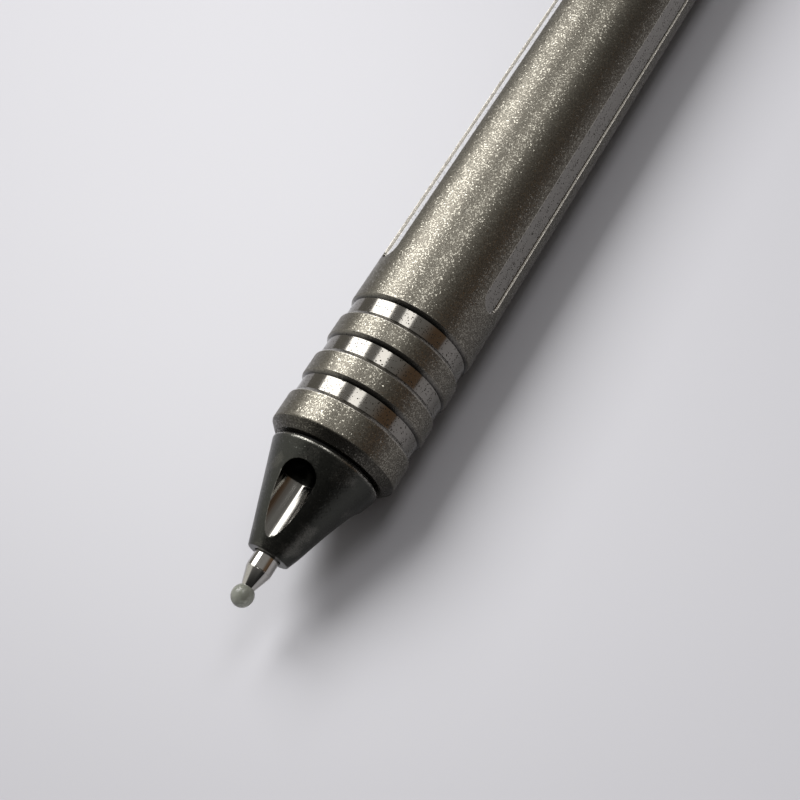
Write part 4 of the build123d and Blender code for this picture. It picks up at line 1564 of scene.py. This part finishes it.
@dataclass
class Clip:
    """The milled pocket clip and its two screws."""

    clock: float = -121.5
    rear: float = 108.505
    length: float = 40.0
    width: float = 4.0
    outer: float = 8.85
    arm: float = 1.3
    pad_length: float = 9.0
    pad_foot: float = 5.97
    contact: float = 6.4
    tip_length: float = 3.2
    heel_length: float = 2.4
    tip_thickness: float = 1.0
    screw_spacing: float = 4.6
    screw_count: int = 2
    head_radius: float = 1.4
    head_height: float = 0.9
    head_seat: float = 7.65
    hex_radius: float = 0.6
    hex_depth: float = 0.5
    shank_radius: float = 0.8
    shank_foot: float = 4.35
    hole_gap: float = 0.05
    bevel: float = 0.16

    def side_points(self, line: Sequence[Point], across: float) -> Array:
        """Puts places along the pen and heights over its axis beside the clip's middle plane."""
        out, side = clock_frame(self.clock)
        return np.array([np.array([x, 0, 0]) + out * h + side * across for x, h in line])

    def bar(self) -> Item:
        """The clip's bar with rounded edges and its two screw seats.

        Returns:
            The piece.
        """
        front, pad_front, under = self.rear - self.length, self.rear - self.pad_length, self.outer - self.arm
        heel = front + self.tip_length
        corners = [
            (self.rear, self.pad_foot, 0.0),
            (self.rear, self.outer, 1.0),
            (front, self.outer, 0.45),
            (front, self.outer - self.tip_thickness, 0.45),
            (heel, self.contact, 1.2),
            (heel + self.heel_length, under, 1.0),
            (pad_front, under, 0.5),
            (pad_front, self.pad_foot, 0.0),
        ]
        line = soften(corners, steps=8)
        half = self.width / 2
        bar = loft("pocket_clip_bar", [self.side_points(line, -half), self.side_points(line, half)], TITANIUM)
        out, _ = clock_frame(self.clock)
        holes = (self.head_seat, self.head_radius, 3.0), (self.pad_foot - 1, self.shank_radius, 5.0)
        for x in self.screw_places():
            for foot, radius, length in holes:
                start = np.array([x, 0, 0]) + out * foot
                cut(bar, rod("hole_cutter", start, out, radius + self.hole_gap, length))
        bevel = bar.modifiers.new("edges", "BEVEL")
        bevel.width, bevel.segments, bevel.limit_method = self.bevel * MM, 3, "ANGLE"
        bevel.angle_limit, bevel.harden_normals = radians(50), False
        return settle(bar, sharp=40)

    def screw_places(self) -> list[float]:
        """Where the screws are along the pen."""
        first = self.rear - (self.pad_length + (self.screw_count - 1) * self.screw_spacing) / 2
        return [first + i * self.screw_spacing for i in range(self.screw_count)]

    def screws(self) -> Item:
        """The socket-head screws, one made and then repeated along the pen.

        Returns:
            The piece.
        """
        top, seat = self.head_seat + self.head_height, self.head_seat
        corners = [
            (self.shank_foot, 0.0, 0.0),
            (self.shank_foot, self.shank_radius, 0.12),
            (seat, self.shank_radius, 0.0),
            (seat, self.head_radius, 0.05),
            (top, self.head_radius, 0.14),
            (top, 0.0, 0.0),
        ]
        screw = turned("clip_screw_pair", soften(corners, steps=5), BLACK_STEEL, segments=64)
        hexagon = np.arange(6) * pi / 3
        rings = [
            np.array([[h, self.hex_radius * cos(a), self.hex_radius * sin(a)] for a in hexagon])
            for h in (top - self.hex_depth, top + 0.5)
        ]
        cut(screw, loft("hex_cutter", rings, BLACK_STEEL))
        out, side = clock_frame(self.clock)
        along = (0.0, 0.0, 1.0, self.screw_places()[0] * MM)
        axes = (along, (out[1], side[1], 0.0, 0.0), (out[2], side[2], 0.0, 0.0), (0.0, 0.0, 0.0, 1.0))
        screw.data.transform(Matrix(axes))
        tidy_mesh(screw)
        spacing, finish = self.screw_spacing * MM, BLACK_STEEL.material()
        return grow(screw, REPEATS.row, count=self.screw_count, spacing=spacing, finish=finish)

    def build(self) -> None:
        """Builds and dresses the clip and its screws."""
        place(self.bar(), Body.BARREL, Slot.TITANIUM, "pocket_clip")
        place(self.screws(), Body.BARREL, Slot.BLACK_STEEL, "clip_screws")


@dataclass
class Tail:
    """The scalloped tail cap, its seal and the hard strike tip."""

    front: float = 116.455
    rear: float = 125.655
    radius: float = 6.35
    chamfer: float = 0.6
    land: float = 2.2
    rear_radius: float = 3.4
    stub_front: float = 109.305
    stub_radius: float = 4.6
    stub_bore: float = 2.6
    pockets: Pockets = Pockets(clock=71.0, radius=1.8, centre=5.5)
    pocket_length: float = 5.1
    shank_radius: float = 1.6
    shank_length: float = 4.5
    shank_gap: float = 0.02
    collar_radius: float = 2.4
    collar_length: float = 0.8
    cone_length: float = 2.0
    nose_radius: float = 0.5
    seal_front: float = 115.905
    seal_inner: float = 4.65
    seal_outer: float = 5.45
    seal_rounding: float = 0.22

    def cap(self) -> Item:
        """The cap with its stub and three scallops.

        Returns:
            The piece.
        """
        hole, floor = self.shank_radius + self.shank_gap, self.rear - self.shank_length - self.shank_gap
        corners = [
            (self.stub_front, self.stub_bore, 0.0),
            (self.stub_front, self.stub_radius, 0.2),
            (self.front, self.stub_radius, 0.0),
            (self.front, self.radius - self.chamfer, 0.09),
            (self.front + self.chamfer, self.radius, 0.2),
            (self.front + self.land, self.radius, 0.3),
            (self.rear, self.rear_radius, 0.25),
            (self.rear, hole, 0.0),
            (floor, hole, 0.0),
            (floor, 0.0, 0.0),
            (self.front, 0.0, 0.0),
            (self.front, self.stub_bore, 0.0),
        ]
        cap = turned("tail_cap_shell", soften(corners), TITANIUM, segments=200)
        start, end, radius = self.rear - self.pocket_length, self.rear + 1, self.pockets.radius
        self.pockets.mill(cap, [(start, 0.0), (start, radius), (end, radius), (end, 0.0)], TITANIUM)
        paint(cap, polish=self.polish)
        return cap

    def polish(self, points: Array) -> Array:
        """1 in the polished scallops."""
        return self.pockets.hold(points) & (points[:, 0] > self.rear - self.pocket_length - NEAR)

    def build(self) -> None:
        """Builds and dresses the cap, the seal and the tip."""
        place(self.cap(), Body.BARREL, Slot.TITANIUM, "tail_cap")
        inner, outer = self.seal_inner, self.seal_outer
        ring = seal("tail_seal_ring", self.seal_front, self.front, inner, outer, self.seal_rounding)
        place(ring, Body.BARREL, Slot.RUBBER, "tail_seal")
        foot, end = self.rear - self.shank_length, self.rear + self.collar_length
        corners = [
            (foot, 0.0, 0.0),
            (foot, self.shank_radius, 0.15),
            (self.rear, self.shank_radius, 0.0),
            (self.rear, self.collar_radius, 0.08),
            (end, self.collar_radius, 0.1),
            (end + self.cone_length, self.nose_radius, 0.3),
            (end + self.cone_length, 0.0, 0.0),
        ]
        tip = turned("strike_tip_ground", soften(corners, steps=8), CARBIDE)
        place(tip, Body.BARREL, Slot.CARBIDE, "strike_tip")


# The studio


@dataclass(frozen=True)
class Panel:
    """One soft light with its long side along the pen: where it hangs, its size and its strength.

    Its tilt is measured in degrees from straight up, towards +Y, and along is its middle's place
    along the pen.
    """

    name: str
    tilt: float
    along: float
    distance: float
    length: float
    height: float
    power: float


@dataclass
class Studio:
    """The floor, the lights and the camera."""

    floor_z: float = -6.35
    floor_half: float = 1500.0
    target: tuple[float, float, float] = (6.430, -2.494, 0.0)
    eye: tuple[float, float, float] = (-32.255, -26.210, 100.736)
    lens: float = 54.38
    roll: float = -1.57
    view_turn: float = 18.5
    floor_colour: tuple = rgb(0.541, 0.536, 0.574)
    ceiling_colour: tuple = rgb(0.33, 0.325, 0.315)
    wall_colour: tuple = rgb(0.29, 0.278, 0.25)
    wood_colour: tuple = rgb(0.172, 0.112, 0.070)
    front_colour: tuple = rgb(0.03, 0.03, 0.03)
    back_colour: tuple = rgb(0.09, 0.085, 0.08)
    reveal_colour: tuple = rgb(0.78, 0.77, 0.73)
    backdrop_colour: tuple = rgb(0.22, 0.217, 0.22)
    panels: tuple = (
        Panel("window_panel", 36.0, 320.0, 700.0, 600.0, 496.0, 5.6),
        Panel("overhead_panel", -14.0, 475.0, 700.0, 570.0, 240.0, 1.45),
    )

    def floor(self) -> None:
        """The plain pale floor."""
        half = self.floor_half
        corners = [(-half, -half), (half, -half), (half, half), (-half, half)]
        mesh = bpy.data.meshes.new("floor")
        mesh.from_pydata([(x * MM, y * MM, self.floor_z * MM) for x, y in corners], [], [(0, 1, 2, 3)])
        material = bpy.data.materials.new("pale_floor")
        material.use_nodes = True
        shader = material.node_tree.nodes["Principled BSDF"]
        shader.inputs["Base Color"].default_value = self.floor_colour
        shader.inputs["Roughness"].default_value = 0.5
        shader.inputs["Specular IOR Level"].default_value = 1.0
        mesh.materials.append(material)
        add_object("floor", mesh)

    def lights(self) -> None:
        """The soft lights, the dim room that the metal mirrors, and a plain backdrop for the camera."""
        world = bpy.data.worlds.new("room")
        world.use_nodes = True
        tree = Tree(world.node_tree)
        direction = tree.add("ShaderNodeTexCoord").outputs["Generated"]
        parts = tree.add("ShaderNodeSeparateXYZ", {0: direction}).outputs
        horizon = tree.blend(tree.span(parts[1], -0.1, 0.3), self.wood_colour, self.wall_colour)
        low = tree.blend(tree.span(parts[0], -0.3, 0.3), self.front_colour, horizon)
        low = tree.blend(tree.span(parts[0], 0.35, 0.7), low, self.back_colour)
        colour = tree.blend(tree.span(parts[2], 0.35, 0.75), low, self.ceiling_colour)
        front = tree.blend(tree.span(parts[0], -0.5, -0.15), self.front_colour, colour)
        beside = tree.blend(tree.span(parts[0], -0.08, 0.12), self.reveal_colour, colour)
        colour = tree.blend(tree.span(parts[1], 0.35, 0.6), front, beside)
        seen = tree.add("ShaderNodeLightPath").outputs["Is Camera Ray"]
        colour = tree.blend(seen, colour, self.backdrop_colour)
        tree.feed(world.node_tree.nodes["Background"].inputs[0], colour)
        bpy.context.scene.world = world
        for panel in self.panels:
            light = bpy.data.lights.new(panel.name, "AREA")
            light.shape, light.size, light.size_y = "RECTANGLE", panel.length * MM, panel.height * MM
            light.energy = panel.power
            lamp = add_object(panel.name, light)
            tilt, distance = radians(panel.tilt), panel.distance * MM
            lamp.location = (panel.along * MM, sin(tilt) * distance, cos(tilt) * distance)
            lamp.rotation_euler = (-tilt, 0.0, 0.0)

    def camera(self) -> None:
        """The camera at the photograph's viewing angle."""
        data = bpy.data.cameras.new("camera")
        data.lens, data.sensor_width, data.clip_start = self.lens, 36.0, 0.002
        camera = add_object("camera", data)
        eye, target = Vector(self.eye) * MM, Vector(self.target) * MM
        turn = (target - eye).to_track_quat("-Z", "Y").to_matrix().to_4x4()
        round_pen = Matrix.Rotation(radians(self.view_turn), 4, "X")
        level = Matrix.Rotation(radians(self.roll), 4, "Z")
        camera.matrix_world = round_pen @ Matrix.Translation(eye) @ turn @ level
        bpy.context.scene.camera = camera

    def build(self) -> None:
        """Builds the studio."""
        self.floor()
        self.lights()
        self.camera()
        bpy.context.scene.view_settings.view_transform = "Standard"


def main() -> None:
    """Builds the studio and every sub-assembly."""
    logging.basicConfig(level=logging.INFO, format="%(name)s: %(message)s")
    Studio().build()
    for assembly in (Barrel(), NoseCone(), WritingPoint(), Refill(), Bolt(), Clip(), Tail()):
        assembly.build()
        LOG.info("%s done", type(assembly).__name__)


if __name__ == "__main__":
    main()
